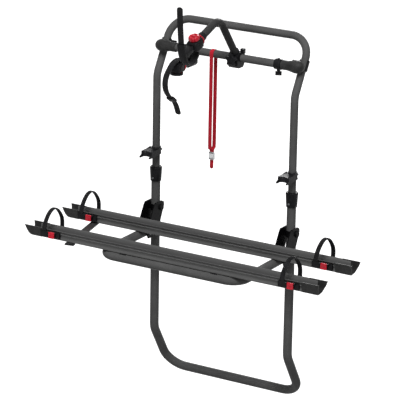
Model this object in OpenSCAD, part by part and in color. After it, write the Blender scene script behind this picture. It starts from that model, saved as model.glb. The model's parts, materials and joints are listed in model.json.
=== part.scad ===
// Rear bike rack for a motorhome: a telescopic tube frame held off the wall,
// a folding platform with two wheel channels, and two arms that hold the bikes.
// Millimetres. X runs across the vehicle, -Y points away from it, +Z is up.
// The origin is the middle of the bottom bar's axis.

/* [View] */
// Piece to draw, or all of them
// Smoothness of curved faces
$fn = 48; // [24:8:96]

/* [Frame tubes] */
// Distance between the axes of the two uprights
upright_gap = 600; // [560:5:640]
// Wall of the lower frame tube
lower_wall = 2.42; // [2:0.01:3]
// Outside diameter of the upper frame tube
upper_od = 30; // [28:0.5:30]
// Wall of the upper tube and the bars
tube_wall = 2; // [1.5:0.1:2.5]
// Radial play of the upper tube in the lower one
slide_play = 0.08; // [0.05:0.01:0.1]
// How far the uprights stand out from the bars
stand_off = 115; // [110:1:118]
// Height where the lower tubes lean back to the bottom bar
low_kink_z = 188; // [180:2:196]
// Drop from the top bar to where the upper tubes lean back to it
high_kink_drop = 202; // [194:2:210]
// Height of the top bar's axis
top_bar_z = 1422; // [1414:2:1430]
// Bend radius at the frame corners
corner_r = 80; // [70:2:90]
// Bend radius at the kinks
kink_r = 70; // [50:5:80]
// Height of the lower tube's open end over the platform's pivot
sleeve_rise = 127; // [122:1:134]
// Length of upper tube inside the lower one
tube_overlap = 365; // [320:5:375]

/* [Collars] */
// How far the collar reaches down over the lower tube
collar_cover = 21; // [19:1:24]
// Height of the collar
collar_h = 57; // [54:1:60]
// Wall of the collar at its lower edge
collar_low_wall = 3.5; // [3:0.25:4]
// Wall of the collar at its upper edge, over the lower tube's width
collar_high_wall = 6.5; // [5.5:0.25:7.5]
// Diameter of the collar screws
screw_d = 5; // [4:0.5:5]
// Drop of the set screw under the lower tube's end
set_screw_drop = 42; // [38:1:46]

/* [Folding pivot] */
// Height of the platform's pivot over the support tube's axis
pivot_rise = 83; // [80:0.5:86]
// Diameter of the pivot trunnions
trunnion_d = 16; // [14:0.5:18]
// Radial play of the cheeks on the trunnions
pivot_play = 0.06; // [0.03:0.01:0.1]
// Height of the pivot ring
ring_h = 24; // [20:1:28]
// Wall of the pivot ring
ring_wall = 2.8; // [2.4:0.1:3]
// Gap between a pivot ring and a cheek
cheek_play = 0.7; // [0.5:0.1:1.2]
// Thickness of a cheek plate
cheek_t = 4; // [3:0.5:5]
// Diameter of the pivot nuts
nut_d = 26; // [22:1:28]
// Thickness of the pivot nuts
nut_t = 5; // [4:0.5:6]

/* [Support tube] */
// Height of the support tube's axis
arm_z = 605; // [603:1:607]
// Diameter of the support tube
arm_od = 35; // [34:0.5:35.5]
// Reach of the cross tube's axis from the uprights
arm_reach = 390; // [386:2:396]
// Gap between the upright and the arm's rear end
arm_gap = 2.5; // [2:0.5:4.5]
// Bend radius of the support tube
support_r = 60; // [55:1:65]

/* [Wheel channels] */
// Length of a channel with its end caps
rail_len = 1280; // [1240:10:1320]
// Width of a channel over its walls
rail_w = 63; // [61:1:65]
// Height of a channel
rail_h = 37.7; // [36:0.1:39]
// Thickness of the channel's sheet
rail_wall = 2.4; // [2:0.1:2.8]
// Thickness of the rolled lip
lip_t = 5; // [4:0.2:5.6]
// Width of the channel's floor
floor_w = 52; // [48:1:54]
// Distance of the front channel's centre behind the cross tube's axis
rail_set = 20.5; // [18:0.5:23]
// Distance of the rear channel's centre from the uprights
rail_first = 113.5; // [110:0.5:118]
// Gap between the rear channel and the cheeks
rail_gap = 4.4; // [3:0.2:6]
// Height of the channels' underside over the support tube
rail_rise = 1.2; // [1:0.1:2]
// Length of channel each end cap covers
cap_cover = 58; // [50:1:61]
// Length of the end cap past the channel's end
cap_nose = 16; // [12:1:20]
// Wall of the end caps
cap_wall = 2; // [1.6:0.1:2.4]
// Half length of a saddle across the arm
saddle_half = 14; // [12:1:20]
// Place of the stabiliser bar, as a share of the way from the arm to the strap's foot
stabiliser_share = 0.571; // [0.54:0.001:0.6]
// How much further out the stabiliser bar lies at the rear channel
stabiliser_skew = 56; // [50:1:62]
// Width of the stabiliser bar
stabiliser_w = 33; // [28:1:36]
// Thickness of the stabiliser bar
stabiliser_t = 4; // [3:0.5:4]

/* [Wheel straps] */
// Distance of the left straps' near foot from the channel's end
strap_left_in = 93; // [90:1:98]
// Distance of the right straps' near foot from the channel's end
strap_right_in = 152; // [148:1:158]
// Width of a wheel strap
strap_w = 19; // [16:1:20]
// Thickness of a wheel strap
strap_t = 2.6; // [2:0.2:3]
// Height of a strap's top over the channel's lip
strap_rise = 79; // [72:1:84]
// Sideways distance between a strap's feet
strap_skew = 34; // [28:1:38]
// How much further a strap's top leans that way
strap_lean = 6; // [2:1:9]
// Gap between a strap and its buckle's lever
lever_gap = 14.5; // [12:0.5:17]
// Height of a buckle's base
base_h = 22; // [20:1:24]
// Thickness of a buckle's base
base_t = 6; // [5:0.5:7]
// Width of a buckle's lever
lever_w = 29; // [26:1:32]
// Length of the base past its lever
base_past = 18; // [14:1:22]
// Height of a buckle's lever
lever_h = 22; // [20:1:25]
// Thickness of a buckle's lever
lever_t = 9; // [7:0.5:10]
// Diameter of the lever's pin
lever_pin_d = 4; // [3:0.5:5]

/* [Cross bar] */
// Drop of the cross bar's axis under the top bar's
cross_drop = 94; // [90:0.5:100]
// Gap between the cross bar and the uprights
cross_gap = 1.7; // [1.4:0.1:2.6]
// Length of the cross bar past the uprights' axes
cross_past = 12; // [9:0.5:14]
// Largest diameter of the brackets
bracket_d = 49; // [47:0.5:51]
// Diameter of a bracket's neck
neck_d = 37; // [36:0.5:39]
// Distance of the neck's end from the upright's axis
neck_in = 70; // [66:1:74]
// Distance of the cone's start from the upright's axis
cone_in = 43; // [40:1:46]
// Distance of the full diameter's start from the upright's axis
shell_in = 14; // [12:1:16]
// Distance of a bracket's outer end from the upright's axis
dome_out = 22; // [20:1:25]
// Half height of the rear saddle along the upright
saddle_h = 20; // [18:1:24]
// Width of the clamp band
band_w = 26; // [24:1:28]
// Diameter of the wing knob
wing_d = 24; // [20:1:26]
// Height of the wing knob
wing_h = 20; // [16:1:22]

/* [Hold-up clips] */
// Gap between the collar and the band
clip_gap = 54; // [48:1:60]
// Height of the band
clip_h = 25; // [22:1:27]
// Gap between a prong and the folded support tube
clip_play = 0.9; // [0.6:0.1:1.5]
// Thickness of a prong
prong_t = 5.4; // [4.5:0.1:6]
// Reach of the prongs from the upright's axis
prong_reach = 86; // [84:1:88]
// Drop of the prong's tip under the band's lower edge
prong_drop = 3; // [2:0.5:5]

/* [Bike arms] */
// Sideways place of the long arm
long_x = 36; // [32:1:40]
// Distance of the short arm from the left bracket's neck
short_in = 68; // [64:1:72]
// Diameter of the arm tubes
arm_tube_d = 28; // [26:0.5:29]
// Forward reach of the long arm's bend from the bar
bend_out = 139; // [136:1:142]
// Height of the long arm's bend over the bar
bend_up = 178; // [174:1:182]
// Bend radius of the long arm
arm_bend_r = 60; // [54:1:64]
// Forward reach of the long arm's head from the bar
head_out = 285; // [282:1:290]
// Height of the long arm's head over the bar
head_up = 125; // [122:1:128]
// Drop of the short arm under the bar
short_drop = 45; // [44:1:47]
// Forward reach of the short arm's head
short_out = 82; // [80:1:85]
// Half width of the bar clamps
clamp_half = 21; // [19:0.5:22]
// Reach of the bar clamps to the front
clamp_front = 32; // [30:1:34]
// Reach of the bar clamps to the rear
clamp_rear = 22; // [21:0.5:24]
// Depth of the bar clamps under the bar's axis
clamp_low = 36; // [34:1:38]
// Diameter of the clamp knobs
knob_d = 50; // [46:1:52]
// Thickness of the clamp knobs
knob_t = 20; // [16:1:22]

/* [Heads] */
// Width of a head's housing
house_w = 46; // [42:1:48]
// Length of a head's housing
house_l = 54; // [50:1:56]
// Height of a housing over the arm's axis
house_up = 18; // [17:0.5:20]
// Depth of a housing under the arm's axis
house_low = 22; // [20:1:24]
// Diameter of the tension knobs
dial_d = 43; // [40:1:45]
// Height of the tension knobs
dial_h = 19; // [16:1:22]
// Height of the skirt round the short arm's tension knob
skirt_h = 10; // [8:0.5:12]
// Wall of the skirt
skirt_wall = 2.4; // [2:0.2:3]
// Diameter of the ring at the neck
collar_ring_d = 46; // [42:1:48]
// Reach of a ladder strap from the head
ladder_l = 100; // [96:1:104]
// Width of a ladder strap
ladder_w = 21; // [18:1:22]
// Thickness of a ladder strap
ladder_t = 3; // [2.6:0.1:3.4]

/* [Security strap] */
// Sideways place of the security strap
security_x = 66; // [60:1:72]
// Width of the webbing
webbing_w = 16; // [14:1:18]
// Thickness of the webbing
webbing_t = 2; // [1.6:0.1:2.4]
// Drop of the loop under the bar
loop_drop = 402; // [380:2:404]
// Length of the loose end
tail_l = 52; // [40:1:56]

/* [Hidden] */
eps = stand_off / 11500;
yu = -stand_off;
bore_r = upper_od / 2 + slide_play;
lower_r = bore_r + lower_wall;
lower_od = lower_r * 2;
upper_r = upper_od / 2;
arm_r = arm_od / 2;
half = upright_gap / 2;
pivot_z = arm_z + pivot_rise;
lower_end_z = pivot_z + sleeve_rise;
upper_end_z = lower_end_z - tube_overlap;
high_kink_z = top_bar_z - high_kink_drop;
rail_z = arm_z + arm_r + rail_rise;
collar_z = lower_end_z - collar_cover;
sides = [-1, 1];
fit_gap = slide_play / 2;
seat = slide_play * 0.3;
lap = slide_play * 5;

function unit(v) = v / norm(v);
function turn(a, b, c) = acos(unit(b - a) * unit(c - b));
function setback(a, b, c, r) = r * tan(turn(a, b, c) / 2);
function bez(p, t) =
  p[0] * pow(1 - t, 3) + p[1] * 3 * t * pow(1 - t, 2) + p[2] * 3 * t * t * (1 - t) + p[3] * pow(t, 3);
function bez_run(p, n, skip) = [for (i = [skip:n]) bez(p, i / n)];
function heading(p, i) = unit(p[min(i + 1, len(p) - 1)] - p[max(i - 1, 0)]);
function side_line(p, w) = [for (i = [0:len(p) - 1]) p[i] + w * [-heading(p, i)[1], heading(p, i)[0]]];
function back(p) = [for (i = [len(p) - 1:-1:0]) p[i]];
function ribbon(p, t) = concat(side_line(p, t / 2), back(side_line(p, -t / 2)));

// Places its children at a, with their Z axis pointing to b
module along(a, b) {
  d = b - a;
  translate(a)
    rotate([0, acos(d[2] / norm(d)), atan2(d[1], d[0])])
      children();
}

module rod(a, b, r) {
  along(a, b) cylinder(r = r, h = norm(b - a));
}

// The rounded corner of a bent tube at b
module elbow(a, b, c, bend, r, hole) {
  u = unit(b - a);
  v = unit(c - b);
  n = unit(v - u * (u * v));
  s = b - u * setback(a, b, c, bend);
  o = s + n * bend;
  z = cross(-n, u);
  multmatrix([
    [-n[0], u[0], z[0], o[0]],
    [-n[1], u[1], z[1], o[1]],
    [-n[2], u[2], z[2], o[2]],
    [0, 0, 0, 1]
  ])
    rotate_extrude(angle = turn(a, b, c))
      translate([bend, 0])
        difference() {
          circle(r = r - seat);
          circle(r = hole + seat);
        }
}

module pipe(a, b, r, hole) {
  along(a, b)
    difference() {
      cylinder(r = r, h = norm(b - a));
      translate([0, 0, -hole])
        cylinder(r = hole, h = norm(b - a) + hole * 2);
    }
}

// A tube through the points, with its inner corners bent. The straights lap over the
// ends of the bends, whose walls are a hair thinner, so that the pieces join cleanly.
module run(p, bends, r, hole) {
  n = len(p);
  for (i = [0:n - 2]) {
    u = unit(p[i + 1] - p[i]);
    from = i == 0 ? p[i] : p[i] + u * (setback(p[i - 1], p[i], p[i + 1], bends[i - 1]) - lap);
    to = i == n - 2 ? p[i + 1] : p[i + 1] - u * (setback(p[i], p[i + 1], p[i + 2], bends[i]) - lap);
    pipe(from, to, r, hole);
  }
  for (i = [1:n - 2]) elbow(p[i - 1], p[i], p[i + 1], bends[i - 1], r, hole);
}

// Draws a Y-Z outline as a plate of thickness t, centred on X
module plate(t) {
  rotate([90, 0, 90])
    linear_extrude(height = t, center = true)
      children();
}

module rounded(r) {
  offset(r = r, $fn = round_fn) offset(delta = -r) children();
}

round_fn = 24;

// Frame

// A frame tube's points, from the left end by the bar to the right end
function frame_path(end_z, kink_z, bar_z) = [
  [-half, yu, end_z],
  [-half, yu, kink_z],
  [-half, 0, bar_z],
  [half, 0, bar_z],
  [half, yu, kink_z],
  [half, yu, end_z]
];
lower_path = frame_path(lower_end_z, low_kink_z, 0);
upper_path = frame_path(upper_end_z, high_kink_z, top_bar_z);
frame_bends = [kink_r, corner_r, corner_r, kink_r];
set_screw_z = lower_end_z - set_screw_drop;
set_screw_r = screw_d * 0.6;
collar_low_d = lower_od + collar_low_wall * 2;
collar_high_d = lower_od + collar_high_wall * 2;
collar_screw_z = collar_z + collar_h / 4;

module lower_frame() {
  color("dimgray")
    difference() {
      run(lower_path, frame_bends, lower_r, bore_r);
      for (s = sides) {
        translate([s * half, yu, set_screw_z])
          rotate([90, 0, 0])
            cylinder(r = set_screw_r + fit_gap, h = lower_od);
      }
    }
}

module upper_frame() {
  color("dimgray")
    run(upper_path, frame_bends, upper_r, upper_r - tube_wall);
}

collar_lip = collar_h / 12;

module collar(s) {
  color("black")
    translate([s * half, yu, 0])
      difference() {
        union() {
          translate([0, 0, collar_z])
            cylinder(d1 = collar_low_d, d2 = collar_high_d, h = collar_h - collar_lip);
          translate([0, 0, collar_z + collar_h - collar_lip])
            cylinder(d1 = collar_high_d, d2 = collar_high_d - collar_lip, h = collar_lip);
        }
        translate([0, 0, collar_z - eps])
          cylinder(r = lower_r + fit_gap, h = lower_end_z - collar_z + fit_gap);
        translate([0, 0, collar_z])
          cylinder(r = bore_r, h = collar_h * 2);
        translate([0, 0, collar_screw_z])
          rotate([90, 0, 0])
            cylinder(d = screw_d + fit_gap, h = collar_high_d);
      }
}

module collars() {
  for (s = sides) collar(s);
}

module frame_screws() {
  collar_screws();
  set_screws();
}

module collar_screws() {
  color("silver")
    for (s = sides)
      translate([s * half, yu, collar_screw_z])
        rotate([90, 0, 0]) {
          translate([0, 0, lower_r + fit_gap])
            cylinder(d = screw_d, h = collar_high_d / 2 - lower_r);
          translate([0, 0, collar_high_d / 2 - fit_gap])
            cylinder(d1 = screw_d * 1.8, d2 = screw_d * 1.2, h = screw_d / 2);
        }
}

module set_screws() {
  color("silver")
    for (s = sides)
      translate([s * half, yu, set_screw_z])
        rotate([90, 0, 0])
          difference() {
            translate([0, 0, bore_r + fit_gap])
              cylinder(r = set_screw_r, h = lower_r - bore_r);
            translate([0, 0, lower_r - tube_wall / 2])
              cylinder(r = set_screw_r / 2, h = lower_r, $fn = 6);
          }
}

// Folding pivot

ring_r = lower_r + ring_wall;
trunnion_r = trunnion_d / 2;
cheek_inner = ring_r + cheek_play;
cheek_outer = cheek_inner + cheek_t;
trunnion_end = cheek_outer + nut_t;
nut_gap = pivot_play * 4;

module pivot_ring(s) {
  color("black")
    translate([s * half, yu, pivot_z])
      difference() {
        union() {
          translate([0, 0, -ring_h / 2])
            cylinder(r = ring_r, h = ring_h);
          rotate([0, 90, 0])
            cylinder(r = trunnion_r, h = trunnion_end * 2, center = true);
        }
        cylinder(r = lower_r + fit_gap, h = trunnion_end * 2, center = true);
      }
}

module pivot_rings() {
  for (s = sides) pivot_ring(s);
}

module pivot_nuts() {
  color("black")
    for (s = sides)
      for (m = sides)
        translate([s * half, yu, pivot_z])
          rotate([0, 90 * m, 0])
            translate([0, 0, cheek_outer + nut_gap])
              difference() {
                cylinder(d1 = nut_d, d2 = nut_d * 0.84, h = nut_t + nut_gap * 4);
                translate([0, 0, -eps])
                  cylinder(r = trunnion_r + fit_gap, h = nut_t);
              }
}

arm_start = lower_r + arm_gap;
arm_bolt_a = arm_start + arm_r;
arm_bolt_b = arm_bolt_a + arm_od * 1.2;
arm_bolts_y = [arm_bolt_a, arm_bolt_b];
shoulder_r = arm_od * 0.22;
shank_r = arm_od * 0.115;
bolt_head_r = arm_od * 0.21;
bolt_head_t = cheek_t;
cheek_end = arm_bolt_b + arm_r;
cheek_low = arm_z - arm_od * 0.6;
cheek_top = pivot_z + nut_d;
cheek_back = nut_d;
cheek_step = cheek_back * 0.24;
// How much of the reach is left behind the rear channel
nose_share = (rail_first - rail_w / 2 - rail_gap) / cheek_end;
// How much of the height is left under it
shelf_share = (rail_z - rail_gap - cheek_low) / (cheek_top - cheek_low);
// The corners of a cheek, as shares of its height and of its reach from the pivot
cheek_share = [
  [-0.28, 1], [0.06, 1], [0.22, 0.94], [0.24, 0.84], [-0.02, 0.42], [-0.12, 0.02], [-0.3, 0],
  [-0.93, 0], [-1, 0.1], [-1, shelf_share], [-nose_share, shelf_share + 0.03],
  [-nose_share * 0.96, 0.58], [-0.5, 0.93], [-0.42, 1]
];

module cheek_outline() {
  translate([yu, cheek_low])
    rounded(cheek_step)
      polygon([for (q = cheek_share) [q[0] * cheek_end, q[1] * (cheek_top - cheek_low)]]);
}

module cheek(s, m) {
  x = s * half + m * (cheek_inner + cheek_t / 2);
  color("black")
    difference() {
      union() {
        translate([x, 0, 0]) plate(cheek_t) cheek_outline();
        translate([x + m * cheek_t / 4, 0, 0])
          plate(cheek_t)
            intersection() {
              cheek_outline();
              translate([yu, pivot_z])
                rotate(-35)
                  translate([-cheek_end, -cheek_step / 4])
                    square([cheek_end - nut_d, cheek_step / 2]);
            }
      }
      translate([x, yu, pivot_z])
        rotate([0, 90, 0])
          cylinder(r = trunnion_r + pivot_play, h = cheek_t * 4, center = true);
      for (y = arm_bolts_y)
        translate([x, yu - y, arm_z])
          rotate([0, 90, 0])
            cylinder(r = shank_r + fit_gap, h = cheek_t * 4, center = true);
    }
}

module cheek_left_outer() {
  cheek(-1, -1);
}

module cheek_left_inner() {
  cheek(-1, 1);
}

module cheek_right_inner() {
  cheek(1, -1);
}

module cheek_right_outer() {
  cheek(1, 1);
}

module arm_bolts() {
  color("silver")
    for (s = sides)
      for (y = arm_bolts_y)
        translate([s * half, yu - y, arm_z])
          rotate([0, 90, 0]) {
            cylinder(r = shoulder_r, h = (cheek_inner - fit_gap) * 2, center = true);
            cylinder(r = shank_r, h = cheek_outer * 2 + fit_gap * 3, center = true);
            for (m = sides)
              translate([0, 0, m * (cheek_outer + fit_gap + bolt_head_t / 2)])
                cylinder(r = bolt_head_r, h = bolt_head_t, center = true);
          }
}

// Support tube

arm_front = yu - arm_reach;
arm_back = yu - arm_start;
support_path = [
  [-half, arm_back, arm_z],
  [-half, arm_front, arm_z],
  [half, arm_front, arm_z],
  [half, arm_back, arm_z]
];
support_bends = [support_r, support_r];
rail_rear_y = yu - rail_first;
rail_front_y = arm_front + rail_set;
rails_y = [rail_rear_y, rail_front_y];
rail_bolt_r = arm_od * 0.11;
front_bolt_x = half * 0.66;
front_bolt_y = arm_front + arm_r * 0.3;
// Where the bolts go through each channel into the tube: the rear one on the arms,
// the front one on the cross tube
rear_bolts = [for (s = sides) [s * half, rail_rear_y]];
front_bolts = [for (s = sides) [s * front_bolt_x, front_bolt_y]];

module rail_support() {
  color("dimgray")
    difference() {
      run(support_path, support_bends, arm_r, arm_r - tube_wall * 1.2);
      for (s = sides)
        for (y = arm_bolts_y)
          translate([s * half, yu - y, arm_z])
            rotate([0, 90, 0])
              cylinder(r = shoulder_r + fit_gap, h = arm_od * 2, center = true);
      for (q = concat(rear_bolts, front_bolts))
        translate([q[0], q[1], arm_z])
          cylinder(r = rail_bolt_r + fit_gap, h = arm_od);
    }
}

// Wheel channels

cap_end = rail_len / 2;
rail_end = cap_end - cap_nose;
feet_x = [strap_left_in - cap_end, cap_end - strap_right_in];
stabiliser_x = half - (feet_x[0] + half) * stabiliser_share;
rail_pitch = rail_rear_y - rail_front_y;
bar_span = norm([stabiliser_skew, rail_pitch]);

function bar_x(y) = -stabiliser_x - stabiliser_skew * (y - rail_front_y) / rail_pitch;
rail_half = rail_w / 2;
floor_half = floor_w / 2;
knee_h = rail_h * 0.36;
lip_z = rail_h - lip_t;

function channel(g) = [
  [-rail_half - g, rail_h + g],
  [-rail_half - g, lip_z - g],
  [-rail_half + rail_wall / 2 - g, lip_z - g],
  [-rail_half + rail_wall / 2 - g, knee_h],
  [-floor_half - g, -g],
  [floor_half + g, -g],
  [rail_half - rail_wall / 2 + g, knee_h],
  [rail_half - rail_wall / 2 + g, lip_z - g],
  [rail_half + g, lip_z - g],
  [rail_half + g, rail_h + g]
];

module hollow_outline() {
  polygon([
    [-rail_half + lip_t, rail_h * 2],
    [-rail_half + lip_t, lip_z],
    [-rail_half + rail_wall * 1.5, lip_z],
    [-rail_half + rail_wall * 1.5, knee_h],
    [-floor_half + rail_wall / 2, rail_wall],
    [floor_half - rail_wall / 2, rail_wall],
    [rail_half - rail_wall * 1.5, knee_h],
    [rail_half - rail_wall * 1.5, lip_z],
    [rail_half - lip_t, lip_z],
    [rail_half - lip_t, rail_h * 2]
  ]);
}

module rail(y, bolts) {
  color("gray")
    difference() {
      translate([0, y, rail_z])
        plate(rail_end * 2)
          difference() {
            polygon(channel(0));
            hollow_outline();
          }
      for (q = concat(bolts, [[bar_x(y), y]]))
        translate([q[0], q[1], rail_z - eps])
          cylinder(r = rail_bolt_r + fit_gap, h = rail_wall * 2);
    }
}

module rail_front() {
  rail(rail_front_y, front_bolts);
}

module rail_rear() {
  rail(rail_rear_y, rear_bolts);
}

bow = rail_h * 0.55;
cap_floor = cap_wall * 1.6;

// The bow's outline in X and Z, raised by g; s turns it to the other end
module bow_outline(s, g) {
  polygon([
    [s * (rail_end - cap_cover - fit_gap), -rail_h * 2],
    [s * (rail_end - cap_cover - fit_gap), -cap_wall * 2],
    [s * rail_end, -cap_wall + g],
    [s * (rail_end + cap_nose / 2), bow / 4 + g],
    [s * (cap_end + eps), bow + g],
    [s * (cap_end + eps), -rail_h * 2]
  ]);
}

module bow_cut(s, g) {
  rotate([90, 0, 0])
    linear_extrude(height = rail_w * 2, center = true)
      bow_outline(s, g);
}

module cap(s, y) {
  reach = cap_cover + cap_nose;
  color("black")
    translate([0, y, rail_z])
      difference() {
        translate([s * (cap_end - reach / 2), 0, 0])
          plate(reach)
            polygon(channel(cap_wall));
        translate([s * (rail_end - reach + fit_gap), 0, 0])
          plate(reach * 2) {
            polygon(channel(fit_gap));
            hollow_outline();
          }
        difference() {
          translate([s * (cap_end - cap_wall - reach / 2), 0, 0])
            plate(reach)
              hollow_outline();
          bow_cut(s, cap_floor);
        }
        bow_cut(s, 0);
      }
}

module end_caps_front() {
  for (s = sides) cap(s, rail_front_y);
}

module end_caps_rear() {
  for (s = sides) cap(s, rail_rear_y);
}

// Saddles and bolts under the channels

saddle_x = arm_r * 0.62;
saddle_low = arm_z + arm_r * 0.82;
rail_bolt_head = arm_od * 0.2;
rail_bolt_tip = arm_z + arm_r * 0.5;

// A saddle on the tube that runs along local X, its bolt at q from its middle
module rail_saddle(q) {
  high = rail_z - fit_gap - saddle_low;
  difference() {
    translate([0, q / 2, saddle_low + high / 2])
      cube([saddle_half * 2, saddle_x * 2, high], center = true);
    translate([0, 0, arm_z])
      rotate([0, 90, 0])
        cylinder(r = arm_r + fit_gap, h = saddle_half * 3, center = true);
    translate([0, q, saddle_low])
      cylinder(r = rail_bolt_r + fit_gap, h = arm_od);
  }
}

module rail_saddles() {
  color("black")
    for (s = sides) {
      translate([s * half, rail_rear_y, 0])
        rotate([0, 0, 90])
          rail_saddle(0);
      translate([s * front_bolt_x, arm_front, 0])
        rail_saddle(front_bolt_y - arm_front);
    }
}

module rail_bolt(low) {
  top = rail_z + rail_wall + fit_gap;
  translate([0, 0, low])
    cylinder(r = rail_bolt_r, h = top - low);
  translate([0, 0, top])
    cylinder(r1 = rail_bolt_head, r2 = rail_bolt_head * 0.7, h = rail_wall * 1.4);
}

module rail_bolts() {
  color("silver") {
    for (q = concat(rear_bolts, front_bolts))
      translate([q[0], q[1], 0])
        rail_bolt(rail_bolt_tip);
    for (y = rails_y)
      translate([bar_x(y), y, 0]) {
        rail_bolt(rail_z - stabiliser_t * 2.4);
        translate([0, 0, rail_z - stabiliser_t * 2.2])
          difference() {
            cylinder(r = rail_bolt_head, h = stabiliser_t, $fn = 6);
            cylinder(r = rail_bolt_r - eps, h = stabiliser_t * 3, center = true);
          }
      }
  }
}

bar_front = -rail_half - lip_t;
bar_back = bar_span + rail_half - lip_t;
bar_cap = stabiliser_w * 0.6;

// Puts its children at the bar's front bolt, with Y along the bar
module at_bar() {
  translate([-stabiliser_x, rail_front_y, 0])
    rotate([0, 0, atan(stabiliser_skew / rail_pitch)])
      children();
}

module bar_outline(g) {
  translate([0, (bar_front + bar_back) / 2])
    square([stabiliser_w + g * 2, bar_back - bar_front], center = true);
}

module stabiliser_bar() {
  color("dimgray")
    at_bar()
      difference() {
        translate([0, 0, rail_z - fit_gap - stabiliser_t])
          linear_extrude(height = stabiliser_t)
            bar_outline(0);
        for (y = [0, bar_span])
          translate([0, y, rail_z - stabiliser_t * 2])
            cylinder(r = rail_bolt_r + fit_gap, h = stabiliser_t * 3);
      }
}

// Black shoes pushed over both ends of the stabiliser bar
module stabiliser_shoes() {
  z = rail_z - fit_gap * 2 - stabiliser_t;
  color("black")
    at_bar()
      for (e = [[bar_front, 1], [bar_back, -1]])
        difference() {
          translate([0, e[0] + e[1] * (bar_cap / 2 - cap_wall), z - cap_wall / 2])
            cube([stabiliser_w + cap_wall * 2, bar_cap, stabiliser_t + cap_wall], center = true);
          translate([0, 0, z])
            linear_extrude(height = stabiliser_t * 3)
              bar_outline(fit_gap);
        }
}

// Wheel straps and their buckles

wall_y = rail_half - rail_wall / 2;
foot_y = wall_y + base_t;
strap_foot = rail_z + lip_z - strap_t / 2;
strap_top = rail_z + rail_h + strap_rise - strap_t / 2;
base_z = strap_foot - strap_t / 5 - base_h;
lever_x = (strap_w + lever_w) / 2 + lever_gap;
pin_z = base_z + base_h * 0.9;
pin_gap = lever_t * 0.5;
pin_y = wall_y + base_t * 1.5 + pin_gap;
ear_t = lever_pin_d * 0.8;
base_w = lever_x + lever_w / 2 + base_past + strap_w * 0.8;
// The arch of a wheel strap, as shares of its half width and height
arch_share = [
  [-1, 0], [-1, 0.16], [-1, 0.36], [-0.98, 0.56], [-0.88, 0.76], [-0.68, 0.91], [-0.36, 0.985], [0, 1],
  [0.36, 0.985], [0.68, 0.91], [0.88, 0.76], [0.98, 0.56], [1, 0.36], [1, 0.16], [1, 0]
];

// An arch across the channel, cut by two planes so that its far foot and its top lean over
module wheel_strap(x, y) {
  line = [for (q = arch_share) [q[0] * foot_y, q[1] * (strap_top - strap_foot)]];
  side = [1, -strap_skew / (foot_y * 2), -strap_lean / (strap_top - strap_foot)];
  color("dimgray")
    translate([x + strap_skew / 2, y, strap_foot])
      intersection() {
        plate(strap_w + (strap_skew + strap_lean) * 2)
          polygon(ribbon(line, strap_t));
        rotate([0, 0, atan2(side[1], side[0])])
          rotate([0, -atan2(side[2], norm([side[0], side[1]])), 0])
            cube([strap_w / norm(side), foot_y * 4, strap_rise * 4], center = true);
      }
}

module wheel_strap_front_left() {
  wheel_strap(feet_x[0], rail_front_y);
}

module wheel_strap_front_right() {
  wheel_strap(feet_x[1], rail_front_y);
}

module wheel_strap_rear_left() {
  wheel_strap(feet_x[0], rail_rear_y);
}

module wheel_strap_rear_right() {
  wheel_strap(feet_x[1], rail_rear_y);
}

module strap_bases() {
  deep = base_t * 1.5;
  color("black")
    for (x = feet_x)
      for (y = rails_y)
        translate([x, y, 0]) {
          translate([base_w / 2 - strap_w * 0.8, -wall_y - fit_gap - deep / 2, base_z + base_h / 2])
            cube([base_w, deep, base_h], center = true);
          translate([strap_skew, wall_y + fit_gap + deep / 2, base_z + base_h / 2])
            cube([strap_w * 1.6, deep, base_h], center = true);
          difference() {
            for (m = sides)
              translate([lever_x + m * (lever_w / 2 + ear_t * 0.7), -pin_y + pin_gap / 2, pin_z])
                cube([ear_t, pin_gap * 3, lever_pin_d * 2], center = true);
            translate([lever_x, -pin_y, pin_z])
              rotate([0, 90, 0])
                cylinder(d = lever_pin_d - eps, h = lever_w - ear_t, center = true);
          }
          translate([lever_x, -pin_y, pin_z])
            rotate([0, 90, 0])
              cylinder(d = lever_pin_d, h = lever_w + ear_t * 2, center = true);
        }
}

module buckle_lever(x, y) {
  low = lever_h - lever_t * 0.5;
  color("red")
    translate([x + lever_x, y - pin_y, pin_z])
      difference() {
        union() {
          rotate([0, 90, 0])
            cylinder(d = lever_t - slide_play * 2, h = lever_w, center = true);
          translate([0, -slide_play, -low / 2])
            cube([lever_w, lever_t - slide_play * 4, low], center = true);
          translate([0, -lever_t * 0.7, -low * 0.84])
            cube([lever_w * 0.86, lever_t * 0.5, lever_t * 0.5], center = true);
        }
        rotate([0, 90, 0])
          cylinder(r = lever_pin_d / 2 + pivot_play, h = lever_w * 2, center = true);
      }
}

module buckle_lever_front_left() {
  buckle_lever(feet_x[0], rail_front_y);
}

module buckle_lever_front_right() {
  buckle_lever(feet_x[1], rail_front_y);
}

module buckle_lever_rear_left() {
  buckle_lever(feet_x[0], rail_rear_y);
}

module buckle_lever_rear_right() {
  buckle_lever(feet_x[1], rail_rear_y);
}

// Cross bar and its brackets

cross_z = top_bar_z - cross_drop;
lean = atan(stand_off / high_kink_drop);
upright_y = -cross_drop * tan(lean);
bar_stand = upper_od + cross_gap;
cross_y = bar_stand / cos(lean) - upright_y;
bar_point = [0, -cross_y, cross_z];
cross_half = half + cross_past;
neck_x = half - neck_in;
cone_x = half - cone_in;
shell_x = half - shell_in;
dome_x = half + dome_out;
bracket_r = bracket_d / 2;
neck_r = neck_d / 2;
dome_l = dome_x - shell_x - bracket_r * 0.25;
dome_fn = 8;
dome_step = 90 / dome_fn;
bracket_bolt_x = (half - cone_x) * 0.72;
bracket_back = bar_stand - bracket_r;
bracket_bolt_tip = bar_stand - upper_r - fit_gap * 6;
saddle_wall = lip_t * 0.9;

module cross_bar() {
  color("dimgray")
    translate(bar_point)
      rotate([0, 90, 0])
        difference() {
          cylinder(r = upper_r, h = cross_half * 2, center = true);
          cylinder(r = upper_r - tube_wall, h = cross_half * 4, center = true);
        }
}

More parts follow.
